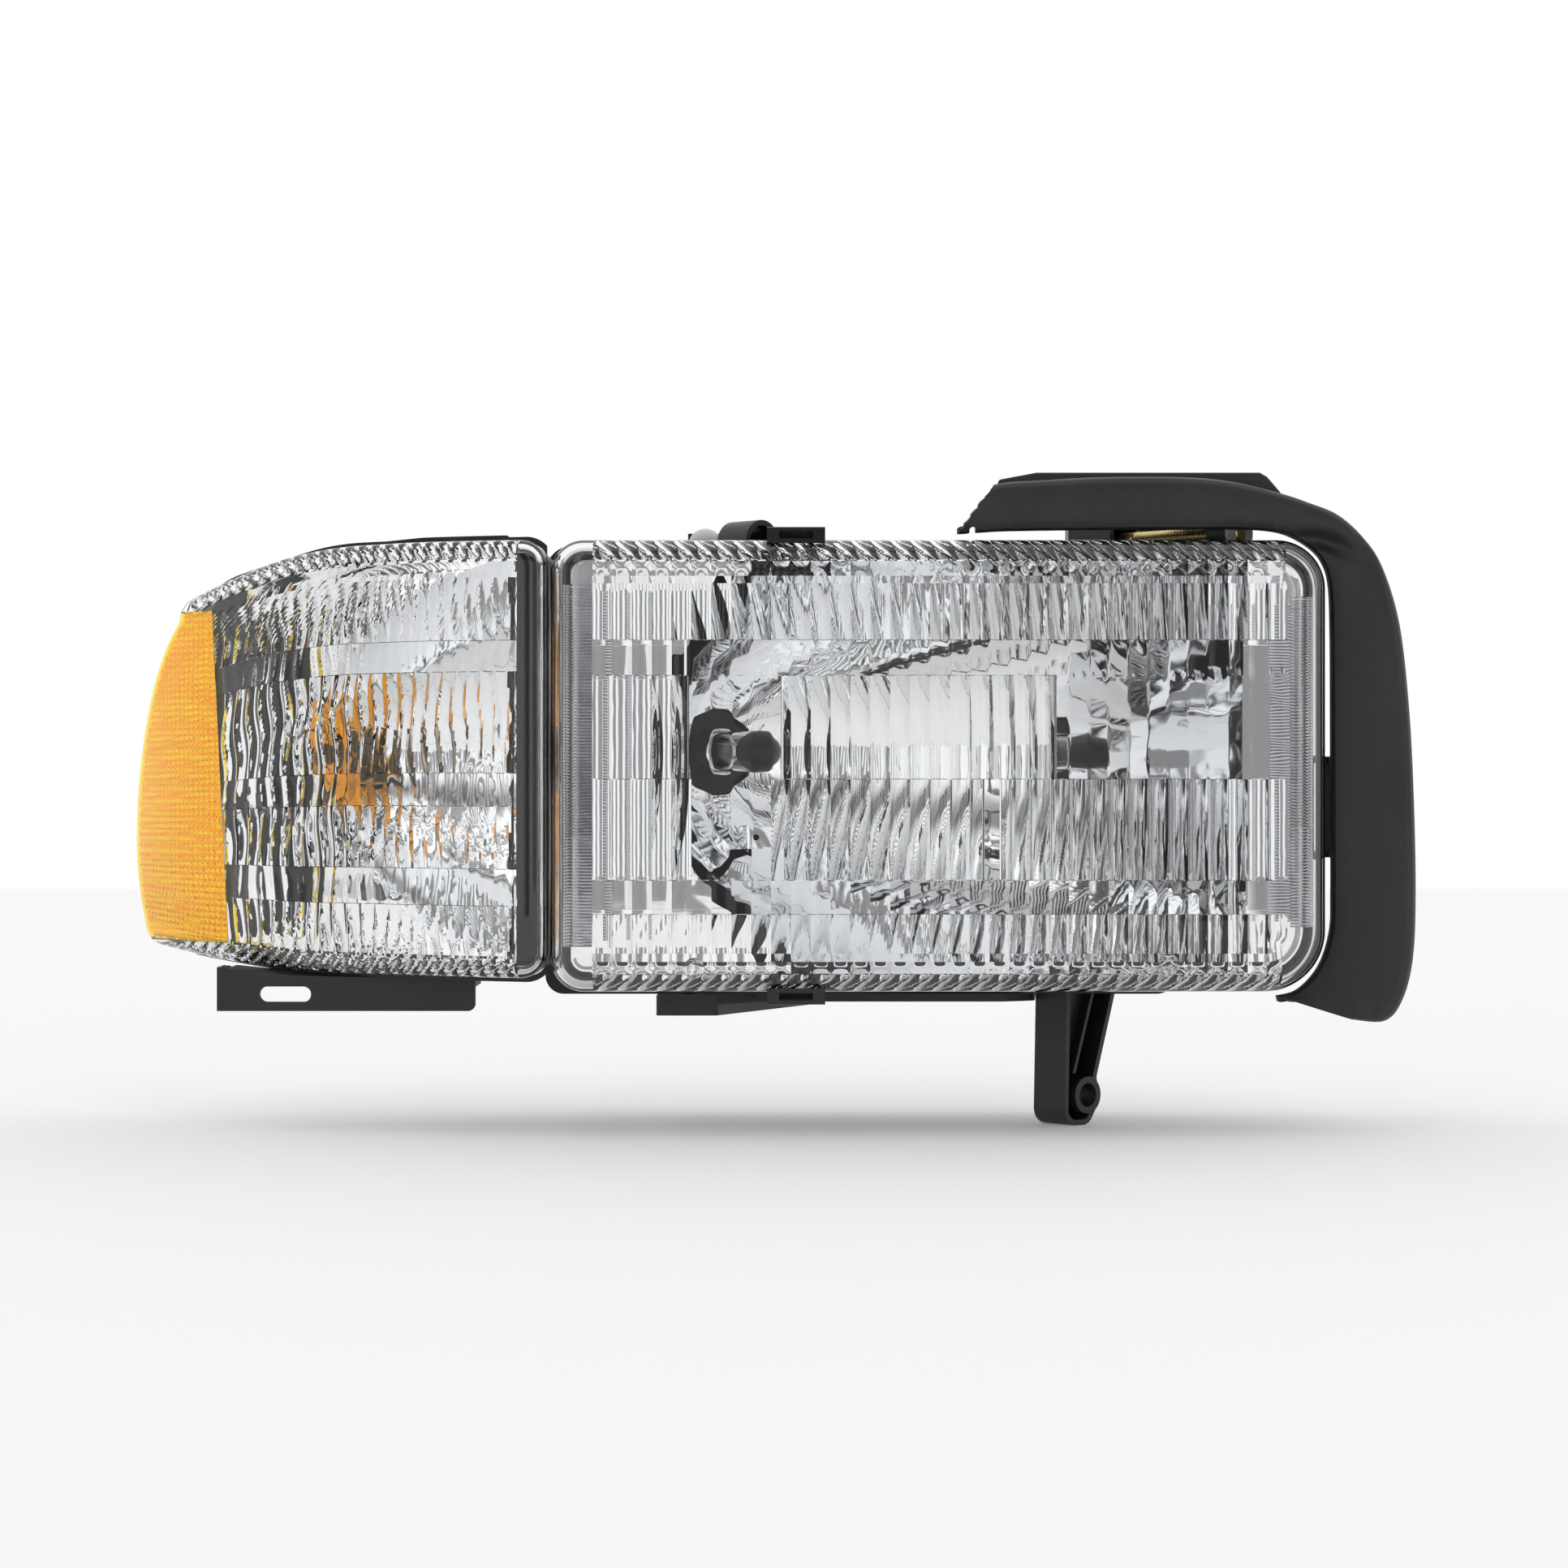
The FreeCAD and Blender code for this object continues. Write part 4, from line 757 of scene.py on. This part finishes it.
def make_corner_lenses(clear, amber, reflex, mirror):
    """The fluted clear lens, then the amber patch's skin, prisms and mirror."""
    edge = spaced(-CORNER_RUN, 0.0, 30)[:-1]
    across = edge + spaced(0.0, CORNER_SPAN, 200) + spaced(CORNER_SPAN, CORNER_SPAN
                                                           + CORNER_RUN, 30)[1:]
    start = CORNER_BOTTOM + CORNER_ROUND
    breaks = [0.0] + [bottom - start for bottom, _, _ in CORNER_BANDS[1:]] + [CORNER_HEIGHT]
    up = edge + stepped_lines(breaks, 2.2)
    up += spaced(CORNER_HEIGHT, CORNER_HEIGHT + CORNER_RUN, 30)[1:]
    lens = shell("fluted_corner_lens", across, up, corner_place, CORNER_WALL, corner_relief)
    combine(lens, amber_limits(), "DIFFERENCE")
    tidy_normals(lens, 13.0)
    finish_piece(lens, "bracket", clear, "corner_lens")
    across = spaced(CORNER_SPAN * 0.66, CORNER_SPAN, 110)
    across += spaced(CORNER_SPAN, CORNER_SPAN + CORNER_RUN, 44)[1:]
    up = spaced(-CORNER_RUN, CORNER_HEIGHT + CORNER_RUN, 290)
    layers = [
        ("amber_lens_skin", plain, AMBER_SKIN, 9.0, "amber_side_lens", amber, "amber_side_lens"),
        ("amber_reflex_prisms", prism_depth, CORNER_WALL, 9.0, "amber_side_lens", reflex, None),
        ("corner_side_mirror", lambda _u, _v: MIRROR_DEPTH, MIRROR_DEPTH + 0.6, 20.0,
         "corner_reflector", mirror, None)]
    for name, outer, inner, sharp_degrees, slot_name, material, replaced in layers:
        layer = shell(name, across, up, corner_place, inner, plain, sharp_degrees, outer)
        combine(layer, amber_limits(), "INTERSECT")
        tidy_normals(layer, sharp_degrees)
        finish_piece(layer, "bracket", material, replaced)


# ---------------- threads

def threaded_rod(name, root, axis, length, radius, pitch, depth):
    """A rod with a real helical thread from end to end."""
    side = axis.orthogonal().normalized()
    other = axis.cross(side)
    sectors = 28
    rows = int(length / pitch * 8)
    points = []
    for row in range(rows + 1):
        along = length * row / rows
        for sector in range(sectors):
            turn = 2.0 * math.pi * sector / sectors
            phase = along / pitch - sector / sectors
            part = phase - math.floor(phase)
            reach = radius - depth * (1.0 - abs(2.0 * part - 1.0))
            points.append(root + axis * along + side * (reach * math.cos(turn))
                          + other * (reach * math.sin(turn)))
    return make_object(name, points, capped_faces(rows + 1, sectors), 40.0)


# ---------------- lens details

RIB_PITCH, RIB_HEIGHT, RIB_WALL = 1.3, 0.7, 0.5
RIB_DEPTH = LENS_WALL + 0.15


def rib_strip(name, left, right, bottom, top, material):
    """A strip of fine level prisms standing just inside the lens near one of its ends."""
    rows = spaced(bottom, top, round((top - bottom) / RIB_PITCH) * 4)
    strip = shell(name, spaced(left, right, 12), rows, lens_place, RIB_DEPTH + RIB_WALL,
                  lambda _u, v: RIB_HEIGHT * flute((v - bottom) / RIB_PITCH), 20.0,
                  lambda _u, _v: RIB_DEPTH)
    finish_piece(strip, "headlamp", material)


AIMING_NUBS = [(65.9, 84.6), (-36.4, -74.5), (155.5, -72.8)]


def make_aiming_nubs(material):
    """Three small clear pads on the lens face that an aiming gauge rests on."""
    for index, (x, z) in enumerate(AIMING_NUBS):
        outline = [(4.2, 1.2), (4.2, -0.6), (3.6, -1.4), (2.5, -2.0), (2.3, -2.7), (1.6, -2.9),
                   (0.2, -2.9)]
        nub = lathe(f"aiming_nub_{index}", Vector((x, 0.0, z)), Vector((0.0, 1.0, 0.0)), outline)
        finish_piece(nub, "headlamp", material)


def make_bulb_tip(material):
    """The blackened end of the headlamp bulb, a thin painted cap over its glass."""
    outline = [(8.86, 27.0), (8.98, 27.6), (8.98, 32.0)]
    outline += [(9.0 * math.cos(turn), 32.0 + 9.0 * math.sin(turn))
                for turn in spaced(0.12, 1.54, 12)]
    tip = lathe("painted_bulb_tip", VERTEX, FORWARD, outline)
    finish_piece(tip, "headlamp", material)


def make_reflector_post(material):
    """The square metallised post that stands on the bowl below the bulb."""
    half_width, half_height = 7.0, 5.3
    low_root, high_root, front = 6.0, -1.6, 19.0
    origin = Vector((-24.0, 115.3, -23.0))
    points = []
    for part, shrink in ((0.0, 0.0), (0.95, 0.3), (1.0, 1.0)):
        for side, height in ((-1, -1), (1, -1), (1, 1), (-1, 1)):
            root = low_root if height < 0 else high_root
            along = root + (front - root) * part
            points.append(origin + FORWARD * along + SIDEWAYS * (side * (half_width - shrink))
                          + UP * (height * (half_height - shrink)))
    faces = grid_faces(3, 4, closed=True) + [(0, 1, 2, 3), (8, 9, 10, 11)]
    post = make_object("reflector_post", points, faces)
    hole = cylinder_solid("post_hole", origin + FORWARD * 12.0, FORWARD, 1.3, 12.0, 24)
    combine(post, hole, "DIFFERENCE")
    tidy_normals(post, 25.0)
    finish_piece(post, "headlamp", material)


# ---------------- corner reflector

CORNER_VERTEX = Vector((-187.0, 77.5, 12.0))
CORNER_FOCAL = 24.0
TURN_SOCKET = Vector((-170.0, 60.0, 12.0))
MARKER_SOCKET, MARKER_AXIS = Vector((-238.5, 108.5, -12.0)), Vector((0.498, 0.867, 0.0))
CORNER_REAR = [(-92.0, -10.0), (-92.0, 92.5), (-213.5, 92.5), (-258.0, 116.5), (-300.0, 116.5),
               (-300.0, -10.0)]
CORNER_CLEAR = 6.0
CORNER_MIRROR_RIGHT = -111.0
MIRROR_RIM_DEPTH, CORNER_SHELF_DEPTH, CORNER_SKIN = 24.5, 34.0, 0.7
TURN_HOLE_RADIUS, MARKER_HOLE_RADIUS = 13.8, 8.4


def corner_front_outline():
    """The corner lamp's outline seen from in front, drawn in by the reflector's clearance."""
    outline = []
    for x in spaced(CORNER_MIRROR_RIGHT, -262.0, 24):
        outline.append((x, smooth_between(TOP_EDGE, x) - CORNER_CLEAR))
    for z in spaced(70.0, -62.0, 20):
        outline.append((smooth_between(LEFT_EDGE, z) * 0.975 + CORNER_CLEAR, z))
    for x in spaced(-262.0, CORNER_MIRROR_RIGHT, 24):
        outline.append((x, smooth_between(BOTTOM_EDGE, x) + CORNER_CLEAR))
    return outline


def wrap_limit(depth):
    """The upright cylinder a given depth behind the corner lamp's face."""
    plan = []
    for turn in spaced(0.0, 2.0 * math.pi, 240)[:-1]:
        radius = WRAP_RADIUS - depth
        plan.append((WRAP_CENTRE_X + radius * math.cos(turn),
                     WRAP_CENTRE_Y + radius * math.sin(turn)))
    return upright_prism("wrap_limit", plan, -120.0, 140.0)


def make_corner_reflector(material):
    """The corner lamp's metallised inside: straight walls, a step and a raked dish."""
    dish = paraboloid_solid("metallised_corner", CORNER_VERTEX, CORNER_FOCAL, 190.0, 150, 200)
    step = wrap_limit(0.0)
    combine(step, wrap_limit(CORNER_SHELF_DEPTH), "DIFFERENCE")
    combine(dish, step, "UNION")
    combine(dish, prism("corner_walls", corner_front_outline(), -20.0, 160.0), "INTERSECT")
    combine(dish, upright_prism("corner_rear", CORNER_REAR, -130.0, 150.0), "INTERSECT")
    combine(dish, wrap_limit(MIRROR_RIM_DEPTH), "INTERSECT")
    centre = mm(WRAP_CENTRE_X, WRAP_CENTRE_Y, 0.0)
    front = (WRAP_RADIUS - MIRROR_RIM_DEPTH - 0.1) * MM

    def is_front(face):
        middle = face.calc_center_median() - centre
        return math.hypot(middle.x, middle.y) > front and abs(face.normal.z) < 0.2

    hollow_out(dish, is_front, CORNER_SKIN)
    hole = cylinder_solid("turn_bulb_hole", TURN_SOCKET, Vector((0.0, 1.0, 0.0)),
                          TURN_HOLE_RADIUS, 60.0)
    combine(dish, hole, "DIFFERENCE")
    marker = cylinder_solid("marker_hole", MARKER_SOCKET - MARKER_AXIS * 20.0, MARKER_AXIS,
                            MARKER_HOLE_RADIUS, 60.0)
    combine(dish, marker, "DIFFERENCE")
    tidy_normals(dish, 28.0)
    finish_piece(dish, "bracket", material, "corner_reflector")


# ---------------- filler seal

# Pairs of points (x, z) on the seal's inner edge beside the lens and on its outer edge.
SEAL_RUNGS = [((71.5, 101.6), (86.5, 123.0)), ((80.0, 102.2), (93.0, 124.0)),
              ((92.0, 102.8), (104.0, 124.6)), ((126.0, 103.2), (130.0, 126.0)),
              ((165.0, 103.4), (163.0, 126.0)), ((184.0, 103.6), (184.0, 124.0)),
              ((199.0, 103.0), (203.0, 119.4)), ((208.4, 100.6), (215.0, 115.4)),
              ((215.2, 96.4), (227.0, 110.4)), ((220.0, 90.2), (237.5, 101.0)),
              ((222.4, 81.0), (245.4, 89.0)), ((222.8, 62.0), (252.4, 66.0)),
              ((222.8, 30.0), (256.4, 32.0)), ((222.8, -5.0), (258.4, -5.0)),
              ((222.8, -44.0), (259.2, -44.8)), ((222.2, -60.0), (258.0, -72.0)),
              ((217.6, -74.0), (253.6, -89.0)), ((209.0, -83.6), (246.4, -97.2)),
              ((200.4, -86.4), (233.0, -96.6))]
# Depth of the seal's section from its inner to its outer edge, then round to its outer wall.
SEAL_SECTION = [(0.05, 26.5), (0.045, 22.5), (0.04, 18.6), (0.075, 16.6), (0.2, 15.4),
                (0.45, 14.5), (0.7, 14.3), (0.86, 15.0), (0.94, 16.6), (0.985, 19.4),
                (1.0, 23.5), (1.0, 32.0), (1.0, 44.0), (1.0, 57.0)]
SEAL_SKIN = 2.4
CREASE_RUNG, CREASE_DEPTH = 8.2, 6.5
FLAP_HOLE = (77.2, 103.6)
FLAP_HOLE_RADIUS = 1.4
# The seal's cut end is toothed along its face and almost smooth down its outer wall.
TEETH_PER_POINT, TOOTHED_POINTS = 0.31, 26
TOOTH_HEIGHT, WALL_TOOTH_HEIGHT = 1.1, 0.3
FLANGE_OUTLINE = [(86.0, 117.0), (88.5, 125.4), (104.0, 128.3), (196.0, 128.3), (199.0, 126.6),
                  (205.0, 119.6), (199.0, 113.0)]
FLANGE_FRONT, FLANGE_REAR, FLANGE_ROUND = 28.0, 31.0, 0.9


def rung_point(position, across):
    """A point of the seal's face, position counted in rungs along it."""
    index = min(len(SEAL_RUNGS) - 2, int(position))
    part = position - index
    ends = []
    for side in (0, 1):
        four = [SEAL_RUNGS[min(len(SEAL_RUNGS) - 1, max(0, index + step))][side]
                for step in (-1, 0, 1, 2)]
        ends.append([smooth_curve(part, *(point[axis] for point in four)) for axis in (0, 1)])
    inner, outer = ends
    return [inner[axis] + (outer[axis] - inner[axis]) * across for axis in (0, 1)]


def smooth_curve(part, before, first, second, after):
    """Catmull-Rom reading between first and second."""
    square, cube = part * part, part ** 3
    return 0.5 * (2.0 * first + (second - before) * part
                  + (2.0 * before - 5.0 * first + 4.0 * second - after) * square
                  + (3.0 * first - before - 3.0 * second + after) * cube)


def seal_row(position):
    """One section of the seal from its inner lip to the back of its outer wall."""
    row = []
    for index in range((len(SEAL_SECTION) - 1) * 4 + 1):
        slot, part = divmod(index, 4)
        first = SEAL_SECTION[slot]
        second = SEAL_SECTION[min(slot + 1, len(SEAL_SECTION) - 1)]
        across = first[0] + (second[0] - first[0]) * part / 4
        back = first[1] + (second[1] - first[1]) * part / 4
        x, z = rung_point(position, across)
        swing = CREASE_RUNG + 2.6 * (across - 0.3)
        valley = math.exp(-((position - swing) / 0.85) ** 2) * math.exp(-((across - 0.35) / 0.4) ** 2)
        wave = 0.5 * math.sin(position * 2.1) * math.sin(across * 3.1)
        row.append([x, back + CREASE_DEPTH * valley + wave * (across > 0.0), z])
    return row


def make_filler_seal(material):
    """The soft filler moulding: a rounded face, a turned lip, an outer wall and a rear flange."""
    positions = spaced(0.0, len(SEAL_RUNGS) - 1.0, (len(SEAL_RUNGS) - 1) * 10)
    rows = [seal_row(position) for position in positions]
    for index, point in enumerate(rows[0]):
        tooth = abs((index * TEETH_PER_POINT) % 1.0 - 0.5) * 2.0
        point[0] -= tooth * (TOOTH_HEIGHT if index < TOOTHED_POINTS else WALL_TOOTH_HEIGHT)
    points = [point for row in rows for point in row]
    faces = pierce(points, grid_faces(len(rows), len(rows[0])), FLAP_HOLE, FLAP_HOLE_RADIUS)
    seal = make_object("soft_filler_seal", points, faces, 40.0)
    face_forward(seal)
    thicken = seal.modifiers.new("thicken", "SOLIDIFY")
    thicken.thickness = SEAL_SKIN * MM
    thicken.offset = -1.0
    apply_modifiers(seal)
    tidy_normals(seal, 40.0)
    flange = prism("seal_rear_flange", FLANGE_OUTLINE, FLANGE_FRONT, FLANGE_REAR)
    round_edges(flange, FLANGE_ROUND)
    finish_piece(flange, "bracket", material)
    finish_piece(seal, "bracket", material, "filler_seal")


def pierce(points, faces, centre, radius):
    """Leave out the faces round a point of a sheet and draw the gap's rim to a circle."""
    offsets = [Vector((point[0] - centre[0], point[2] - centre[1])) for point in points]
    open_faces = [face for face in faces if min(offsets[corner].length for corner in face) < radius]
    rim = {corner for face in open_faces for corner in face if offsets[corner].length >= radius}
    for corner in rim:
        drawn = offsets[corner].normalized() * radius
        points[corner] = [centre[0] + drawn.x, points[corner][1], centre[1] + drawn.y]
    dropped = set(open_faces)
    return [face for face in faces if face not in dropped]


def face_forward(item):
    """Turn an open sheet's faces over if most of them look backwards."""
    facing = sum(face.normal.y * face.area for face in item.data.polygons)
    if facing > 0.0:
        item.data.flip_normals()


def round_edges(item, width, segments=3):
    """Bevel the sharp edges of a piece."""
    bevel = item.modifiers.new("rounding", "BEVEL")
    bevel.width = width * MM
    bevel.segments = segments
    bevel.limit_method = "ANGLE"
    apply_modifiers(item)
    tidy_normals(item, 50.0)


# ---------------- aiming screws

THREAD_PITCH, THREAD_DEPTH = 1.75, 0.75


def make_aiming_screw(name, node_name, body, root, axis, length, material):
    """A ball-ended aiming screw with a rolled thread and a hexagonal drive end."""
    ball_radius, radius = 4.3, 3.5
    knob = [(ball_radius * math.sin(turn), -ball_radius * math.cos(turn))
            for turn in spaced(0.05, 2.5, 14)]
    knob += [(2.4, 4.4), (2.4, 8.3), (radius - 0.1, 10.3), (radius - 0.1, 18.0), (0.2, 18.0)]
    head = lathe(name + "_ball_end", root, axis, knob)
    finish_piece(head, body, material)
    thread = threaded_rod(name, root + axis * 17.0, axis, length - 25.0, radius, THREAD_PITCH,
                          THREAD_DEPTH)
    finish_piece(thread, body, material, node_name)
    drive = [(0.2, length - 9.0), (2.9, length - 9.0), (2.9, length - 0.6), (2.4, length),
             (0.2, length)]
    tip = lathe(name + "_drive_end", root, axis, drive, 6, 10.0)
    finish_piece(tip, body, material)


# ---------------- stage, light and camera

# Brightness of the studio round the object against the compass angle, from -180 to 180 degrees
# with 0 towards the camera: two broad soft boxes, dark gaps beside them and a dim room ahead.
STUDIO_RING = [(-180.0, 1.0), (-80.0, 1.0), (-62.0, 0.55), (-56.0, 0.06), (-46.0, 0.08),
               (-41.0, 1.15), (-14.0, 1.0), (-9.0, 0.30), (9.0, 0.30), (14.0, 1.0), (36.0, 1.2),
               (41.0, 0.10), (50.0, 0.07), (56.0, 0.9), (80.0, 1.0), (180.0, 1.0)]
# Brightness against the sine of the height angle, from straight down to straight up.
STUDIO_HEIGHT = [(-1.0, 0.30), (-0.45, 0.34), (-0.2, 0.75), (-0.04, 1.0), (0.3, 1.0),
                 (0.42, 0.35), (0.52, 0.30), (0.6, 1.1), (1.0, 1.1)]


def studio_world():
    """A soft white studio: white behind the object, soft boxes and gaps on the camera's side."""
    world = bpy.data.worlds.new("studio")
    bpy.context.scene.world = world
    world.use_nodes = True
    nodes = Nodes(world.node_tree)
    direction = nodes.node("ShaderNodeTexCoord").outputs["Generated"]
    along = nodes.node("ShaderNodeSeparateXYZ", {"Vector": direction}).outputs
    compass = nodes.math("ARCTAN2", along["X"], nodes.math("MULTIPLY", along["Y"], -1.0))
    ring = [(math.radians(angle), level) for angle, level in STUDIO_RING]
    around = nodes.graded(compass, ring, -math.pi, math.pi)
    upright = nodes.graded(along["Z"], STUDIO_HEIGHT, -1.0, 1.0)
    front = nodes.math("MULTIPLY", around, upright)
    behind = nodes.ramp(along["Y"], -0.25, 0.1)
    background = world.node_tree.nodes["Background"]
    nodes.feed(background.inputs["Color"], nodes.mix(behind, front, (1.0, 1.0, 1.0)))
    background.inputs["Strength"].default_value = 1.0


def make_camera():
    """A long lens square to the headlamp's face."""
    camera = bpy.data.cameras.new("camera")
    camera.sensor_width = 36.0
    camera.lens = 85.2
    camera.clip_end = 50.0
    item = bpy.data.objects.new("camera", camera)
    bpy.context.scene.collection.objects.link(item)
    item.location = mm(0.0, -1500.0, 0.0)
    item.rotation_euler = (math.radians(90.0), 0.0, 0.0)
    bpy.context.scene.camera = item


def make_floor():
    """A plain pale floor under the lowest point of the part."""
    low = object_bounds()[0][2]
    points = [(-3.0, -2.5, low), (3.0, -2.5, low), (3.0, 3.5, low), (-3.0, 3.5, low)]
    mesh = bpy.data.meshes.new("floor")
    mesh.from_pydata(points, [], [(0, 1, 2, 3)])
    floor = bpy.data.objects.new("floor", mesh)
    bpy.context.scene.collection.objects.link(floor)
    shader = Shader("floor_paper", (0.94, 0.94, 0.94), 0.9)
    shader.set("Emission Color", (1.0, 1.0, 1.0, 1.0))
    shader.set("Emission Strength", 0.13)
    shader.bump(shader.noise(400.0, 3.0), 0.0001)
    mesh.materials.append(shader.material)


# ---------------- build

def dress_node(name, material):
    """Put a material in every slot of a carried-over CAD node."""
    item = bpy.data.objects[name]
    if not item.material_slots:
        item.data.materials.append(material)
    for slot in item.material_slots:
        slot.material = material


def dress_cad_nodes():
    """Materials for the carried-over nodes; the two that new pieces share are returned."""
    black = moulded_plastic("black_plastic", (0.012, 0.012, 0.013), 0.42)
    gloss = moulded_plastic("gloss_black_plastic", (0.008, 0.008, 0.009), 0.16, 0.00002)
    grey = moulded_plastic("smoke_grey_plastic", (0.17, 0.17, 0.175), 0.4)
    nylon = moulded_plastic("natural_nylon", (0.72, 0.72, 0.68), 0.38, 0.00003, 0.08)
    soft = rubber("black_rubber", (0.014, 0.014, 0.015))
    zinc = plated_metal("yellow_zinc", (0.83, 0.66, 0.30), 0.3)
    steel = plated_metal("bright_steel", (0.62, 0.62, 0.63), 0.26)
    bright = plated_metal("polished_collar", (0.92, 0.92, 0.93), 0.1, (1.0, 1.0, 1.0), 0.00001)
    tungsten = plated_metal("tungsten_wire", (0.5, 0.49, 0.47), 0.35)
    sealant = rubber("butyl_sealant", (0.055, 0.055, 0.057), 0.6)
    glass = clear_acrylic("bulb_glass_clear", (0.99, 0.99, 0.99), 1.47, 0.00001)
    amber_bulb = clear_acrylic("turn_bulb_amber", (1.0, 0.62, 0.12), 1.47, 0.00001)
    wanted = {
        black: ["headlamp_housing", "mounting_bracket", "corner_housing", "corner_bracket",
                "bulb_base", "bulb_retaining_ring", "vent_elbow", "turn_socket",
                "marker_socket"],
        gloss: ["lens_clip_upper", "lens_clip_lower"],
        nylon: ["pivot_socket", "lateral_adjuster_nut", "vertical_adjuster_nut"],
        soft: ["filler_seal", "corner_gasket", "bulb_o_ring", "turn_socket_gasket",
               "marker_socket_gasket"],
        zinc: ["lateral_adjuster_screw", "vertical_adjuster_screw", "pivot_ball_stud"],
        steel: ["bulb_terminals", "corner_screws"],
        bright: ["bulb_collar"],
        tungsten: ["bulb_filaments", "turn_filament", "marker_filament"],
        sealant: ["lens_sealant"],
        grey: ["seal_push_pins"],
        glass: ["bulb_glass", "marker_bulb"],
        amber_bulb: ["turn_bulb"],
    }
    for material, names in wanted.items():
        for name in names:
            dress_node(name, material)
    return soft, zinc


def build():
    """Dress the CAD nodes and add every finer piece."""
    mirror = chrome("metallised_finish")
    clear = clear_acrylic("clear_lens_acrylic")
    amber = amber_acrylic("amber_lens_acrylic")
    reflex = reflex_prisms_with_painted_glow("amber_reflex_painted_glow")
    # Painted shade: a grey tint in the clear end prisms, standing in for the darkness their
    # refraction gives.
    lens_end_shade = clear_acrylic("lens_end_painted_shade", (0.62, 0.62, 0.64))
    paint = moulded_plastic("black_bulb_paint", (0.012, 0.012, 0.013), 0.38, 0.00003)
    soft, zinc = dress_cad_nodes()
    make_headlamp_lens(clear)
    rib_strip("left_end_prisms", -92.0, -77.8, -66.0, 81.0, lens_end_shade)
    rib_strip("right_end_prisms", 205.0, 216.0, -58.0, 76.0, lens_end_shade)
    make_aiming_nubs(clear)
    make_reflector_bowl(mirror)
    make_reflector_post(mirror)
    make_bulb_tip(paint)
    make_corner_lenses(clear, amber, reflex, mirror)
    make_corner_reflector(mirror)
    make_filler_seal(soft)
    lateral_tip = Vector((189.5, 40.0, 104.0))
    make_aiming_screw("lateral_screw_thread", "lateral_adjuster_screw", "lateral_screw",
                      lateral_tip - FORWARD * 76.0, FORWARD, 76.0, zinc)
    make_aiming_screw("vertical_screw_thread", "vertical_adjuster_screw", "vertical_screw",
                      Vector((-75.0, 112.0, -62.0)), Vector((0.0, -1.0, 0.0)), 72.0, zinc)


build()
studio_world()
make_floor()
make_camera()
bpy.context.scene.view_settings.view_transform = "Standard"
